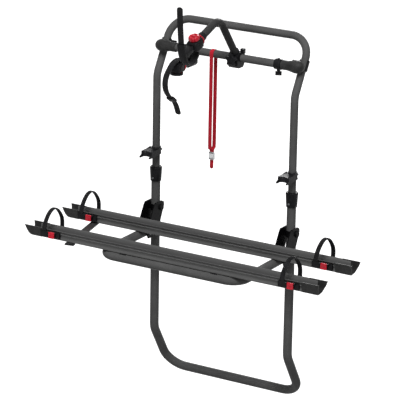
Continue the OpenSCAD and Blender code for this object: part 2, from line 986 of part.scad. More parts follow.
// Puts its children at the upright, with Z along the leaning tube
module at_upright(s) {
  translate([s * half, upright_y, cross_z])
    rotate([-lean, 0, 0])
      children();
}

module bracket(s) {
  rim = dome_x - dome_l;
  color("black")
    difference() {
      translate(bar_point)
        rotate([0, 90 * s, 0])
          rotate_extrude()
            polygon(concat(
              [
                [0, neck_x],
                [neck_r, neck_x],
                [neck_r, cone_x - fit_gap],
                [neck_r + slide_play * 4, cone_x],
                [bracket_r, shell_x]
              ],
              [for (i = [0:dome_fn]) [bracket_r * cos(i * dome_step), rim + dome_l * sin(i * dome_step)]]
            ));
      translate(bar_point)
        rotate([0, 90, 0])
          cylinder(r = upper_r + fit_gap, h = (cross_half + fit_gap) * 2, center = true);
      at_upright(s)
        cylinder(r = upper_r + fit_gap, h = bracket_d * 3, center = true);
      at_upright(s)
        translate([-s * bracket_bolt_x, 0, 0])
          rotate([90, 0, 0])
            cylinder(r = screw_d / 2 + fit_gap, h = bracket_bolt_tip, center = false);
    }
}

module bracket_left() {
  bracket(-1);
}

module bracket_right() {
  bracket(1);
}

module bracket_saddles() {
  flange_y = bracket_back - slide_play;
  flange_l = half - cone_x - lip_t / 2;
  color("black")
    for (s = sides)
      at_upright(s)
        difference() {
          union() {
            difference() {
              cylinder(r = upper_r + saddle_wall, h = saddle_h * 2, center = true);
              translate([0, -bracket_d - flange_y * 0.9, 0])
                cube([bracket_d * 2, bracket_d * 2, bracket_d * 2], center = true);
            }
            translate([-s * (flange_l + upper_r) / 2, -flange_y + saddle_wall / 2, -saddle_h * 0.4])
              cube([flange_l - upper_r + saddle_wall * 3, saddle_wall, saddle_h * 2.2], center = true);
          }
          cylinder(r = upper_r + fit_gap, h = bracket_d * 2, center = true);
          translate([-s * bracket_bolt_x, 0, 0])
            rotate([90, 0, 0])
              cylinder(r = screw_d / 2 + fit_gap, h = bracket_d, center = true);
        }
}

module bracket_bolts() {
  flange_y = bracket_back - slide_play;
  color("silver")
    for (s = sides)
      at_upright(s)
        translate([-s * bracket_bolt_x, 0, 0])
          rotate([90, 0, 0]) {
            translate([0, 0, flange_y - saddle_wall - screw_d * 0.6])
              cylinder(d = screw_d * 1.8, h = screw_d * 0.6 - fit_gap);
            translate([0, 0, flange_y - saddle_wall - fit_gap * 2])
              cylinder(d = screw_d, h = bracket_bolt_tip - flange_y + saddle_wall);
          }
}

band_x = neck_x - band_w / 2 - lip_t * 0.4;
band_r = upper_r + lip_t;
boss_r = wing_d * 0.3;
wing_screw_r = screw_d * 0.6;

module clamp_band() {
  color("black")
    translate([band_x, -cross_y, cross_z])
      difference() {
        union() {
          rotate([0, 90, 0])
            cylinder(r = band_r, h = band_w, center = true);
          cylinder(r = boss_r * 0.7, h = band_r + lip_t * 0.7);
          translate([0, 0, -band_r - lip_t * 0.5])
            cylinder(r = boss_r, h = band_r);
        }
        rotate([0, 90, 0])
          cylinder(r = upper_r + fit_gap, h = band_w * 2, center = true);
        translate([0, 0, -band_r * 2])
          cylinder(r = wing_screw_r + pivot_play, h = band_r * 2);
      }
}

module wing_knob() {
  top = -band_r - lip_t * 0.5 - slide_play * 3;
  color("black")
    translate([band_x, -cross_y, cross_z]) {
      translate([0, 0, top - wing_h * 0.5])
        cylinder(r = wing_screw_r, h = -upper_r - slide_play * 3 - top + wing_h * 0.5);
      translate([0, 0, top - wing_h * 0.4])
        cylinder(r = boss_r * 0.9, h = wing_h * 0.4);
      translate([0, 0, top - wing_h])
        rotate([0, 0, 25])
          translate([-wing_d / 2, -wing_d / 8, 0])
            cube([wing_d, wing_d / 4, wing_h * 0.8]);
    }
}

// Hold-up clips

clip_z = collar_z + collar_h + clip_gap;
clip_half = arm_r + clip_play;
clip_r = upper_r + lip_t * 0.8;
fold_y = pivot_z - arm_z;
throat_y = fold_y - arm_r;
ear_y = clip_r + screw_d * 1.3;
// The prong's side outline, as shares of its reach and of the band's height
prong_share = [[0, 0], [0.1, 1], [0.55, 0.8], [0.98, 0.1], [1, -0.08], [0.96, -0.12], [0.6, -0.1]];

module clip(s) {
  out_x = clip_half + prong_t;
  outline = [for (q = prong_share) [-q[0] * prong_reach, q[1] * (q[1] > 0 ? clip_h : prong_drop * 8)]];
  color("black")
    translate([s * half, yu, clip_z])
      difference() {
        union() {
          cylinder(r = clip_r, h = clip_h);
          for (m = sides)
            translate([m * (clip_half + prong_t / 2), 0, 0])
              plate(prong_t)
                polygon(outline);
          translate([-out_x, -throat_y - lip_t, 0])
            cube([out_x * 2, throat_y + lip_t - upper_r, clip_h * 0.86]);
          for (m = sides)
            translate([m * lip_t * 0.9, ear_y - clip_r * 0.5, clip_h * 0.4])
              cube([lip_t, clip_r, clip_h], center = true);
        }
        translate([0, 0, -clip_h])
          cylinder(r = bore_r, h = clip_h * 3);
        translate([0, -fold_y, -clip_h])
          cylinder(r = arm_r + (clip_half - arm_r) * 0.8, h = clip_h * 3);
        translate([-clip_half, -throat_y * 3 - lip_t * 2, -clip_h])
          cube([clip_half * 2, throat_y * 2, clip_h * 3]);
        translate([-lip_t * 0.4, 0, -clip_h])
          cube([lip_t * 0.8, clip_r * 3, clip_h * 3]);
        translate([0, ear_y, clip_h * 0.4])
          rotate([0, 90, 0])
            cylinder(r = screw_d / 2 + fit_gap, h = clip_r * 2, center = true);
      }
}

module clip_left() {
  clip(-1);
}

module clip_right() {
  clip(1);
}

module clip_bolt(s) {
  ear = lip_t * 1.4 + fit_gap;
  color("silver")
    translate([s * half, yu + ear_y, clip_z + clip_h * 0.4])
      rotate([0, 90 * s, 0]) {
        cylinder(d = screw_d, h = ear * 2 + screw_d, center = true);
        translate([0, 0, ear])
          cylinder(d = screw_d * 1.7, h = screw_d * 0.6);
        translate([0, 0, -ear - screw_d * 0.6])
          cylinder(d = screw_d * 1.8, h = screw_d * 0.6, $fn = 6);
      }
}

module clip_bolt_left() {
  clip_bolt(-1);
}

module clip_bolt_right() {
  clip_bolt(1);
}

// Bike arms

tube_r = arm_tube_d / 2;
socket_r = tube_r + lip_t * 0.8;
long_bend = [long_x, -cross_y - bend_out, cross_z + bend_up];
long_head = [long_x, -cross_y - head_out, cross_z + head_up];
long_root = [long_x, -cross_y, cross_z];
long_dir = unit(long_bend - long_root);
head_dir = unit(long_head - long_bend);
short_x = neck_x - short_in;
short_root = [-short_x, -cross_y, cross_z];
short_low = [-short_x, -cross_y, cross_z - short_drop];
short_head = [-short_x, -cross_y - short_out, cross_z - short_drop];
tube_in = upper_r + lip_t;
clamp_up = upper_r + lip_t * 1.6;
knob_r = knob_d / 2;
stud_r = screw_d * 0.9;
ring_t = lip_t * 1.2;
neck_l = arm_tube_d * 0.9;

module clamp_outline() {
  rounded(lip_t)
    polygon([
      [-clamp_front, -clamp_low * 0.7],
      [-clamp_front * 0.7, -clamp_low],
      [clamp_rear * 0.5, -clamp_low],
      [clamp_rear, -clamp_low * 0.6],
      [clamp_rear, clamp_up * 0.7],
      [clamp_rear * 0.5, clamp_up],
      [-clamp_front * 0.6, clamp_up],
      [-clamp_front, clamp_up * 0.5]
    ]);
}

module clamp_bores() {
  rotate([0, 90, 0])
    cylinder(r = upper_r + pivot_play, h = clamp_half * 4, center = true);
  rotate([90, 0, 0])
    cylinder(r = stud_r + pivot_play, h = clamp_front * 2);
}

module clamp_nut() {
  translate([clamp_half * 0.7, -lip_t / 2, clamp_up - lip_t])
    cube([clamp_half * 0.7, lip_t * 3, lip_t * 3.6]);
}

module arm_clamp_long() {
  mouth = long_root + long_dir * tube_in;
  color("black")
    difference() {
      union() {
        translate(long_root) plate(clamp_half * 2) clamp_outline();
        rod(long_root + long_dir * upper_r, mouth + long_dir * lip_t * 3.4, socket_r);
        translate(long_root) clamp_nut();
      }
      translate(long_root) clamp_bores();
      rod(mouth, mouth + long_dir * clamp_front, tube_r + fit_gap);
    }
}

module arm_clamp_short() {
  color("black")
    difference() {
      union() {
        translate(short_root) plate(clamp_half * 2) clamp_outline();
        rod(short_low + [0, clamp_rear * 0.7, 0], short_low - [0, clamp_front, 0], socket_r);
      }
      translate(short_root) clamp_bores();
      rod(short_low, short_low - [0, clamp_front * 2, 0], tube_r + fit_gap);
    }
}

// A five-lobed knob on a stud, its face to -Y
module star_knob(at) {
  lobe_r = knob_r * 0.34;
  color("black")
    translate(at)
      rotate([90, 0, 0]) {
        translate([0, 0, upper_r + slide_play * 3])
          cylinder(r = stud_r, h = clamp_front - upper_r + knob_t / 2);
        translate([0, 0, clamp_front + slide_play * 3])
          cylinder(r = stud_r * 2, h = knob_t);
        translate([0, 0, clamp_front + knob_t * 0.3]) {
          cylinder(r = knob_r - lobe_r, h = knob_t * 0.6);
          for (i = [0:4])
            rotate([0, 0, i * 72 + 18])
              translate([knob_r - lobe_r, 0, 0])
                cylinder(r = lobe_r, h = knob_t * 0.7);
        }
      }
}

module clamp_knob_long() {
  star_knob(long_root);
}

module clamp_knob_short() {
  star_knob(short_root);
}

module arm_tube_long() {
  path = [long_root + long_dir * (tube_in + fit_gap), long_bend, long_head];
  color("dimgray")
    run(path, [arm_bend_r], tube_r, tube_r - tube_wall);
}

module arm_tube_short() {
  color("dimgray")
    difference() {
      rod(short_low - [0, fit_gap, 0], short_head, tube_r);
      rod(short_low, short_head - [0, lip_t, 0], tube_r - tube_wall);
    }
}

// Heads: local X is sideways, Z runs out along the arm, -Y is the knob's side.

module at_head(short) {
  if (short)
    translate(short_head)
      rotate([90, 0, 0])
        children();
  else
    translate(long_head)
      rotate([90 + atan2(-head_dir[2], -head_dir[1]), 0, 0])
        rotate([0, 0, 180])
          children();
}

module neck_ring(short) {
  color("red")
    at_head(short)
      rotate_extrude()
        polygon([
          [tube_r + fit_gap, -ring_t],
          [collar_ring_d / 2 - lip_t * 0.3, -ring_t],
          [collar_ring_d / 2, -ring_t * 0.7],
          [collar_ring_d / 2, -ring_t * 0.3],
          [collar_ring_d / 2 - lip_t * 0.3, -fit_gap * 4],
          [tube_r + fit_gap, -fit_gap * 4]
        ]);
}

module neck_collar_long() {
  color("black")
    at_head(false)
      translate([0, 0, -ring_t - fit_gap * 2 - neck_l])
        difference() {
          cylinder(r1 = socket_r - lip_t * 0.3, r2 = socket_r, h = neck_l);
          translate([0, 0, -eps])
            cylinder(r = tube_r + fit_gap, h = neck_l * 2);
        }
}

plug_r = tube_r - tube_wall - pivot_play;
plug_l = arm_tube_d * 0.6;
dial_z = house_l * 0.48;
dial_r = dial_d / 2;
hub_r = dial_d * 0.2;
hub_l = house_up * 0.6;
dial_gap = slide_play * 8;
short_dial_h = skirt_h + lip_t * 0.8;

module house_outline() {
  rounded(lip_t * 1.4)
    polygon([
      [-house_up * 0.9, slide_play * 2],
      [-house_up, house_l * 0.12],
      [-house_up, house_l * 0.86],
      [-house_up * 0.6, house_l],
      [house_low * 0.6, house_l],
      [house_low, house_l * 0.8],
      [house_low, house_l * 0.1],
      [house_low * 0.8, slide_play * 2]
    ]);
}

curve_fn = 8;
// The lines of the two ladder straps, as shares of their reach: across the arm, along it
long_line_share = concat(
  bez_run([[0.13, 0.22], [0.5, 0.3], [0.66, 0.8], [0.44, 1.02]], curve_fn, 0),
  bez_run([[0.44, 1.02], [0.33, 1.14], [-0.1, 1.22], [-0.53, 1.12]], curve_fn, 1),
  bez_run([[-0.53, 1.12], [-0.96, 1.02], [-1.48, 0.9], [-1.87, 0.77]], curve_fn, 1)
);
short_line_share = concat(
  bez_run([[0.25, 0.02], [0.42, 0.2], [0.44, 0.62], [0.2, 0.92]], curve_fn, 0),
  bez_run([[0.2, 0.92], [0.04, 1.12], [-0.12, 1.33], [-0.42, 1.32]], curve_fn, 1),
  bez_run([[-0.42, 1.32], [-0.72, 1.31], [-0.94, 1.05], [-1.12, 0.78]], curve_fn, 1),
  bez_run([[-1.12, 0.78], [-1.3, 0.51], [-1.6, 0.42], [-1.8, 0.32]], curve_fn, 1)
);
long_line = long_line_share * ladder_l;
short_line = short_line_share * ladder_l;
// Where the tab that holds the short arm's strap ends
tab_end = short_line[1][0] + ladder_t * 0.78;
strap_side = house_w / 2 - ladder_w * 0.44;
// The points of each line that its catch holds
long_grip = [11, 16];
short_grip = [22, 25];
soft_gap = slide_play * 3;
catch_t = ladder_t * 4;
catch_w = ladder_w + lip_t;

function strap_line(short) = short ? short_line : long_line;
function strap_x(short) = short ? strap_side : 0;
function grip(short) = short ? short_grip : long_grip;
function part_of(p, a, b) = [for (i = [a:b]) p[i]];

// Draws an outline given across and along the arm as a plate of thickness t
module head_plate(t) {
  rotate([0, 90, 0])
    linear_extrude(height = t, center = true)
      rotate(90)
        children();
}

module head_housing(short) {
  color("black")
    at_head(short)
      difference() {
        union() {
          head_plate(house_w) house_outline();
          translate([0, 0, -plug_l])
            cylinder(r = plug_r, h = plug_l + lip_t);
          if (short) {
            translate([strap_x(short) - catch_w / 2, house_low / 2, lip_t * 0.8])
              cube([catch_w, tab_end - house_low / 2, lip_t * 2.4]);
            translate([0, 0, dial_z])
              rotate([90, 0, 0])
                translate([0, 0, house_up - lip_t])
                  cylinder(r = dial_r + dial_gap + skirt_wall, h = lip_t + skirt_h);
          }
        }
        translate([0, 0, dial_z])
          rotate([90, 0, 0])
            translate([0, 0, house_up - hub_l])
              cylinder(r = hub_r + pivot_play, h = house_up);
        if (short)
          translate([0, 0, dial_z])
            rotate([90, 0, 0])
              translate([0, 0, house_up])
                cylinder(r = dial_r + dial_gap, h = skirt_h * 2);
        translate([strap_x(short), 0, 0])
          head_plate(ladder_w + soft_gap * 2)
            polygon(ribbon(part_of(strap_line(short), 0, 6), ladder_t + soft_gap * 2));
      }
}

module ladder_strap(short) {
  color("dimgray")
    at_head(short)
      translate([strap_x(short), 0, 0])
        head_plate(ladder_w)
          polygon(ribbon(strap_line(short), ladder_t));
}

module strap_catch(short) {
  line = strap_line(short);
  g = grip(short);
  color("black")
    at_head(short)
      translate([strap_x(short), 0, 0])
        difference() {
          union() {
            head_plate(catch_w)
              polygon(ribbon(part_of(line, g[0], g[1]), catch_t));
            if (!short)
              translate([0, -house_up * 0.1, (house_l + ladder_l * 1.14) / 2])
                cube([catch_w * 0.8, house_up * 1.2, ladder_l * 1.14 - house_l - soft_gap], center = true);
          }
          head_plate(ladder_w + soft_gap * 2)
            polygon(ribbon(part_of(line, g[0] - 2, g[1] + 2), ladder_t + soft_gap * 2));
        }
}

module tension_dial(short) {
  tall = short ? short_dial_h : dial_h;
  color("red")
    at_head(short)
      translate([0, 0, dial_z])
        rotate([90, 0, 0]) {
          translate([0, 0, house_up - hub_l + slide_play * 2])
            cylinder(r = hub_r, h = hub_l + lip_t);
          difference() {
            translate([0, 0, house_up + slide_play * 4])
              rotate_extrude()
                polygon([
                  [0, 0],
                  [dial_r * 0.92, 0],
                  [dial_r, tall * 0.14],
                  [dial_r * 0.98, tall * 0.5],
                  [dial_r * 0.84, tall * 0.8],
                  [dial_r * 0.56, tall * 0.95],
                  [0, tall]
                ]);
            for (i = [0:5])
              rotate([0, 0, i * 60 + 20])
                translate([dial_r * 1.08, 0, house_up + tall * 0.3])
                  cylinder(r = dial_r * 0.2, h = dial_h);
          }
            }
}

module neck_ring_long() {
  neck_ring(false);
}

module neck_ring_short() {
  neck_ring(true);
}

module head_housing_long() {
  head_housing(false);
}

module head_housing_short() {
  head_housing(true);
}

module tension_dial_long() {
  tension_dial(false);
}

module tension_dial_short() {
  tension_dial(true);
}

module ladder_strap_long() {
  ladder_strap(false);
}

module ladder_strap_short() {
  ladder_strap(true);
}

module strap_catch_long() {
  strap_catch(false);
}

module strap_catch_short() {
  strap_catch(true);
}

// Security strap

loop_r = upper_r + soft_gap + webbing_t / 2;
buckle_w = webbing_w * 1.4;
buckle_h = webbing_w * 1.9;
buckle_top = cross_z - loop_drop + buckle_h / 2;
buckle_t = webbing_w * 0.6;
side_t = webbing_t * 0.75;
cam_pin_r = webbing_t * 0.75;
cam_y = buckle_t * 0.35;
cam_z = buckle_top - buckle_h * 0.24;
loop_share = [for (a = [180:-15:0]) [-cos(180 - a), sin(a)]];

module security_strap() {
  foot = [buckle_t * 0.26, buckle_top - cross_z + soft_gap];
  knee = foot[1] + loop_r * 1.3;
  line = concat(
    [[-foot[0], foot[1]], [-foot[0] * 1.6, foot[1] + loop_r * 0.4], [-loop_r, knee], [-loop_r, knee / 2]],
    [for (q = loop_share) [q[0] * loop_r, q[1] * loop_r]],
    [[loop_r, knee / 2], [loop_r, knee], [foot[0] * 1.6, foot[1] + loop_r * 0.4], [foot[0], foot[1]]]
  );
  color("red")
    translate([-security_x, -cross_y, cross_z]) {
      plate(webbing_w)
        polygon(ribbon(line, webbing_t));
      translate([0, 0, buckle_top - buckle_h - soft_gap - cross_z - tail_l * 0.35])
        cube([webbing_w, webbing_t, tail_l * 0.7], center = true);
    }
}

module cam_buckle() {
  color("silver")
    translate([-security_x, -cross_y, 0]) {
      difference() {
        translate([0, 0, buckle_top - buckle_h / 2])
          cube([buckle_w, buckle_t, buckle_h], center = true);
        translate([0, -side_t, buckle_top - buckle_h / 2])
          cube([buckle_w - side_t * 2, buckle_t, buckle_h - side_t * 2], center = true);
      }
      translate([0, -cam_y, cam_z])
        rotate([0, 90, 0])
          cylinder(r = cam_pin_r, h = buckle_w - side_t, center = true);
    }
}

module cam_lever() {
  r = cam_pin_r * 1.9;
  w = buckle_w - side_t * 2 - slide_play * 4;
  color("silver")
    translate([-security_x, -cross_y - cam_y, cam_z])
      difference() {
        union() {
          rotate([0, 90, 0])
            cylinder(r = r, h = w, center = true);
          translate([0, -r * 0.5, -buckle_h * 0.29])
            cube([w, r, buckle_h * 0.58], center = true);
          translate([0, -r, -buckle_h * 0.53])
            cube([w, r * 2, cam_pin_r], center = true);
        }
        rotate([0, 90, 0])
          cylinder(r = cam_pin_r + pivot_play, h = buckle_w * 2, center = true);
      }
}

lower_frame();
upper_frame();
collars();
frame_screws();
pivot_rings();
pivot_nuts();
cheek_left_outer();
cheek_left_inner();
cheek_right_inner();
cheek_right_outer();
arm_bolts();
rail_support();
rail_front();
rail_rear();
end_caps_front();
end_caps_rear();
rail_saddles();
rail_bolts();
stabiliser_bar();
stabiliser_shoes();
wheel_strap_front_left();
wheel_strap_front_right();
wheel_strap_rear_left();
wheel_strap_rear_right();
strap_bases();
buckle_lever_front_left();
buckle_lever_front_right();
buckle_lever_rear_left();
buckle_lever_rear_right();
cross_bar();
bracket_left();
bracket_right();
bracket_saddles();
bracket_bolts();
clamp_band();
wing_knob();
clip_left();
clip_right();
clip_bolt_left();
clip_bolt_right();
arm_clamp_long();
clamp_knob_long();
arm_tube_long();
neck_collar_long();
neck_ring_long();
head_housing_long();
tension_dial_long();
ladder_strap_long();
strap_catch_long();
arm_clamp_short();
clamp_knob_short();
arm_tube_short();
neck_ring_short();
head_housing_short();
tension_dial_short();
ladder_strap_short();
strap_catch_short();
security_strap();
cam_buckle();
cam_lever();
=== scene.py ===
"""Looks of the motorhome bike rack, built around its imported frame.

New pieces are surfaces worked out with numpy in millimetres, in the frame's own axes:
X across the vehicle, -Y away from it, +Z up. They are made metres when they become meshes.
"""

import json

import bmesh
import bpy
import numpy as np
from bpy.props import FloatProperty, FloatVectorProperty, PointerProperty
from mathutils import Matrix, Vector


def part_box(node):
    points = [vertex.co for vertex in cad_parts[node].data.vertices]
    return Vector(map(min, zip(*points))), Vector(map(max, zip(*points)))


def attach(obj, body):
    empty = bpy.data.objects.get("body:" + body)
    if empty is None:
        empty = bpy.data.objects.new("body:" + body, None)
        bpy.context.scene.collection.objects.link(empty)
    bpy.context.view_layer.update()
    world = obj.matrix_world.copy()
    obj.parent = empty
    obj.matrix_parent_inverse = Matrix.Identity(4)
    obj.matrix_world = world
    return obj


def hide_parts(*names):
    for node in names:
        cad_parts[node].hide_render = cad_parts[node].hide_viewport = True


bl_info = {
    "name": "Motorhome Bike Rack Looks",
    "version": (1, 0, 0),
    "blender": (4, 5, 0),
    "location": "3D View > Sidebar > Bike Rack",
    "description": "Dresses the packed bike rack with its channels, straps, knobs and finishes",
    "category": "Object",
}

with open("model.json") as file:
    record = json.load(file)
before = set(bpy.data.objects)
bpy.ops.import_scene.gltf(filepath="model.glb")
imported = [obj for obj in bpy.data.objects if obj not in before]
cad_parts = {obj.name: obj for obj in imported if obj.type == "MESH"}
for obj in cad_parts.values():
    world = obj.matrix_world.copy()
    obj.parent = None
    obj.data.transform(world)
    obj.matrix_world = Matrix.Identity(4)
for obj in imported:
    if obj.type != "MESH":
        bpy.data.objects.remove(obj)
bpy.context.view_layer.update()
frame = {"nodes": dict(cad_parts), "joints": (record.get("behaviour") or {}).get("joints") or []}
NODES = frame["nodes"]
PIVOTS = {joint["name"]: joint["pos_m"] for joint in frame["joints"] if "pos_m" in joint}

X, Y, Z = np.eye(3)
MM = 0.001  # A millimetre in metres
WELD = 1e-6  # Points closer than this, in metres, are one


def in_mm(places):
    """Places of the frame in millimetres, to the nearest fiftieth of one."""
    return np.round(np.array(places) / MM * 50) / 50


# The channels: height of their undersides and their middles. The caps go on for the nose's
# length past the channels' ends, and reach back over them for the cover's
RAIL_Z = in_mm(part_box("rail_front"))[0, 2]
RAIL_Y = {f: in_mm(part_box("rail_" + f))[:, 1].mean() for f in ("front", "rear")}
NOSE_LONG = 38.0
COVER_LONG = 36.0
CAP_END = in_mm(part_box("end_caps_front"))[1, 0]
RAIL_END = CAP_END - NOSE_LONG
CAP_IN = RAIL_END - COVER_LONG
# A wheel strap's near foot stands so far back along X from its lever's pin
FOOT_BACK = 38.5
FOOT_X = {
    s: in_mm(PIVOTS["lever_front_" + s + "_open"])[0] - FOOT_BACK for s in ("left", "right")
}
# The cross bar's middle, the arms along it, and the way that the long arm's head points
BAR = in_mm(PIVOTS["long_arm_swing"]) * [0, 1, 1]
ARM_X = {which: in_mm(PIVOTS[which + "_arm_swing"])[0] for which in ("long", "short")}
HEAD_OUT = np.array([0.0, -146.0, -53.0]) / np.hypot(146.0, 53.0)
# Origin, sideways, across and along axes of the two heads; the knob's side is minus across
HEADS = {
    "long": (in_mm(PIVOTS["long_head_swivel"]), -X, np.cross(X, HEAD_OUT), HEAD_OUT),
    "short": (in_mm(PIVOTS["short_head_swivel"]), X, Z, -Y),
}


# Shapes


def unit(v):
    """Each row divided by its length."""
    v = np.asarray(v, float)
    return v / np.linalg.norm(v, axis=-1, keepdims=True)


def curve(controls, n):
    """Cubic curves end to end through rows of four control points: each point is their
    mean weighted by (1-t)^3, 3t(1-t)^2, 3t^2(1-t) and t^3."""
    c = np.asarray(controls, float)
    t = np.linspace(0, 1, n)[:, None]
    w = np.hstack([(1 - t) ** 3, 3 * t * (1 - t) ** 2, 3 * t * t * (1 - t), t**3])
    runs = np.einsum("ij,cjk->cik", w, c)
    return np.vstack([runs[0], runs[1:, 1:].reshape(-1, c.shape[2])])


def through(corners, n=24):
    """A smooth curve through the corners: between two of them a cubic whose slope at each
    is half the chord of its neighbours."""
    p = np.asarray(corners, float)
    q = np.vstack([2 * p[0] - p[1], p, 2 * p[-1] - p[-2]])
    a, b, c, d = q[:-3], q[1:-2], q[2:-1], q[3:]
    t = np.linspace(0, 1, n, endpoint=False)[:, None, None]
    square, cube = 2 * a - 5 * b + 4 * c - d, 3 * b - a - 3 * c + d
    s = b + 0.5 * ((c - a) * t + square * t**2 + cube * t**3)
    return np.vstack([s.transpose(1, 0, 2).reshape(-1, p.shape[1]), p[-1:]])


def lengths(path):
    """The distance along the path up to each of its points."""
    return np.concatenate([[0], np.cumsum(np.linalg.norm(np.diff(path, axis=0), axis=1))])


def at_lengths(path, s):
    """The points of the path at the distances s along it."""
    d = lengths(path)
    return np.stack([np.interp(s, d, path[:, k]) for k in range(path.shape[1])], 1)


def evenly(path, n):
    """n points at equal steps along the path."""
    return at_lengths(path, np.linspace(0, lengths(path)[-1], n))


def soften(corners, r, n=6):
    """A closed outline with rounded corners: each corner becomes a parabola that starts
    and ends r before and after it, or half a side away where the side is short."""
    c = np.asarray(corners, float)
    to_last, to_next = np.roll(c, 1, 0) - c, np.roll(c, -1, 0) - c
    a = c + unit(to_last) * np.minimum(r, np.linalg.norm(to_last, axis=1, keepdims=True) * 0.499)
    b = c + unit(to_next) * np.minimum(r, np.linalg.norm(to_next, axis=1, keepdims=True) * 0.499)
    t = np.linspace(0, 1, n)[None, :, None]
    a, b, c = a[:, None], b[:, None], c[:, None]
    return ((1 - t) ** 2 * a + 2 * t * (1 - t) * c + t * t * b).reshape(-1, 2)


def inset(outline, d):
    """The closed anticlockwise outline moved inwards by d along the mean of its sides' normals."""
    side = unit(np.roll(outline, -1, 0) - outline + 1e-12)
    normal = np.stack([-side[:, 1], side[:, 0]], 1)
    both = unit(normal + np.roll(normal, 1, 0))
    grow = 1 / np.maximum(0.5, (both * normal).sum(1, keepdims=True))
    return outline + both * grow * d


def anticlockwise(outline):
    """The outline, turned round if its area by the shoelace sum is negative."""
    x, y = outline[:, 0], outline[:, 1]
    return outline if (x * np.roll(y, -1) - y * np.roll(x, -1)).sum() > 0 else outline[::-1]


def slab(outline, thick, edge, n=4):
    """A plate with rounded edges: at angle a of the edge, the outline moves inwards by
    edge*(1-sin a) and stands at half the thickness less edge*(1-cos a)."""
    outline = anticlockwise(outline)
    a = np.linspace(0, np.pi / 2, n)
    inwards, lower = edge * (1 - np.sin(a)), thick / 2 - edge * (1 - np.cos(a))
    move = np.concatenate([inwards, inwards[::-1]])
    rise = np.concatenate([-lower, lower[::-1]])
    rings = [inset(outline, m) for m in move]
    return np.stack([np.hstack([r, np.full((len(r), 1), h)]) for r, h in zip(rings, rise)])


def turned(profile, n=48):
    """A surface of revolution about local Z: (r cos t, r sin t, z) for each (r, z)."""
    r, z = np.asarray(profile, float).T
    t = np.linspace(0, 2 * np.pi, n, endpoint=False)
    return np.stack([np.outer(r, np.cos(t)), np.outer(r, np.sin(t)), np.outer(z, np.ones(n))], 2)


def swept(path, side, profile):
    """Carries a closed profile along a path: point (i, j) is path[i] + a*side + b*up, where
    (a, b) is the profile's point j at station i and up is square to the path and to side."""
    up = unit(np.cross(side, np.gradient(path, axis=0)))
    p = np.broadcast_to(profile, (len(path), *profile.shape[-2:]))
    return path[:, None] + p[..., :1] * side + p[..., 1:] * up[:, None]


def place(points, origin, x, y):
    """Local points in the frame: origin + px*x + py*y + pz*(x cross y)."""
    return points @ np.stack([x, y, np.cross(x, y)]) + origin


def tube_faces(rows, columns, start, closed_rows):
    """Quads of a grid whose columns close on themselves, numbered from start. Where its rows
    don't close too, one polygon goes over each end."""
    i = np.arange(rows if closed_rows else rows - 1)[:, None]
    j = np.arange(columns)[None, :]
    k, m = (i + 1) % rows, (j + 1) % columns
    quads = np.stack([i * columns + j, i * columns + m, k * columns + m, k * columns + j], 2)
    faces = (quads.reshape(-1, 4) + start).tolist()
    if not closed_rows:
        faces.append((np.arange(columns)[::-1] + start).tolist())
        faces.append((np.arange(columns) + (rows - 1) * columns + start).tolist())
    return faces


def make(name, grids, finish, body, replaced, sharp=32, weave=None):
    """One mesh of the grids, in metres, riding on a body. A grid is an array of rows by
    columns by three whose columns close on themselves; with True beside it its rows close
    too. Angles over sharp degrees stay creased, and weave holds a vector for each point."""
    points, faces, start = [], [], 0
    for g in grids:
        g, ring = g if isinstance(g, tuple) else (g, False)
        faces += tube_faces(g.shape[0], g.shape[1], start, ring)
        points.append(g.reshape(-1, 3))
        start += g.shape[0] * g.shape[1]
    mesh = bpy.data.meshes.new(name)
    mesh.from_pydata(np.vstack(points) * MM, [], faces)
    if weave is not None:
        along_and_across = mesh.attributes.new("weave", "FLOAT_VECTOR", "POINT")
        along_and_across.data.foreach_set("vector", np.vstack(weave).astype(np.float32).ravel())
    bm = bmesh.new()
    bm.from_mesh(mesh)
    bmesh.ops.remove_doubles(bm, verts=bm.verts, dist=WELD)
    bmesh.ops.dissolve_degenerate(bm, edges=bm.edges, dist=WELD / 10)
    bmesh.ops.recalc_face_normals(bm, faces=bm.faces)
    bm.to_mesh(mesh)
    bm.free()
    mesh.polygons.foreach_set("use_smooth", np.ones(len(mesh.polygons), bool))
    mesh.set_sharp_from_angle(angle=np.radians(sharp))
    mesh.materials.append(finishes()[finish])
    piece = bpy.data.objects.new(name, mesh)
    bpy.context.scene.collection.objects.link(piece)
    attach(piece, body)
    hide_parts(*replaced)


# Finishes


def linear(code):
    """An sRGB hex colour as linear red, green and blue: the dark end divided by 12.92, the
    rest raised to the power of 2.4."""
    s = np.array([int(code[i : i + 2], 16) for i in (1, 3, 5)]) / 255
    return tuple(float(c) for c in np.where(s <= 0.04045, s / 12.92, ((s + 0.055) / 1.055) ** 2.4))


def add(tree, kind, sockets=(), **settings):
    """Adds a node with its settings. A socket takes a value, or another node's output to link."""
    node = tree.nodes.new(kind)
    for key, value in settings.items():
        setattr(node, key, value)
    for key, value in dict(sockets).items():
        if isinstance(value, bpy.types.NodeSocket):
            tree.links.new(value, node.inputs[key])
        else:
            node.inputs[key].default_value = value
    return node


def cleared(owner):
    """The node tree of a material or a world, emptied."""
    owner.use_nodes = True
    owner.node_tree.nodes.clear()
    return owner.node_tree


# Values of the noises between which a finish goes from its shade to its base colour, and
# from its smoothest to its roughest, which is as far above its roughness as that is below
SHADE_NOISE = {"From Min": 0.12, "From Max": 0.4}
ROUGH_NOISE = {"From Min": 0.3, "From Max": 0.7}
ROUGH_SPREAD = 0.08


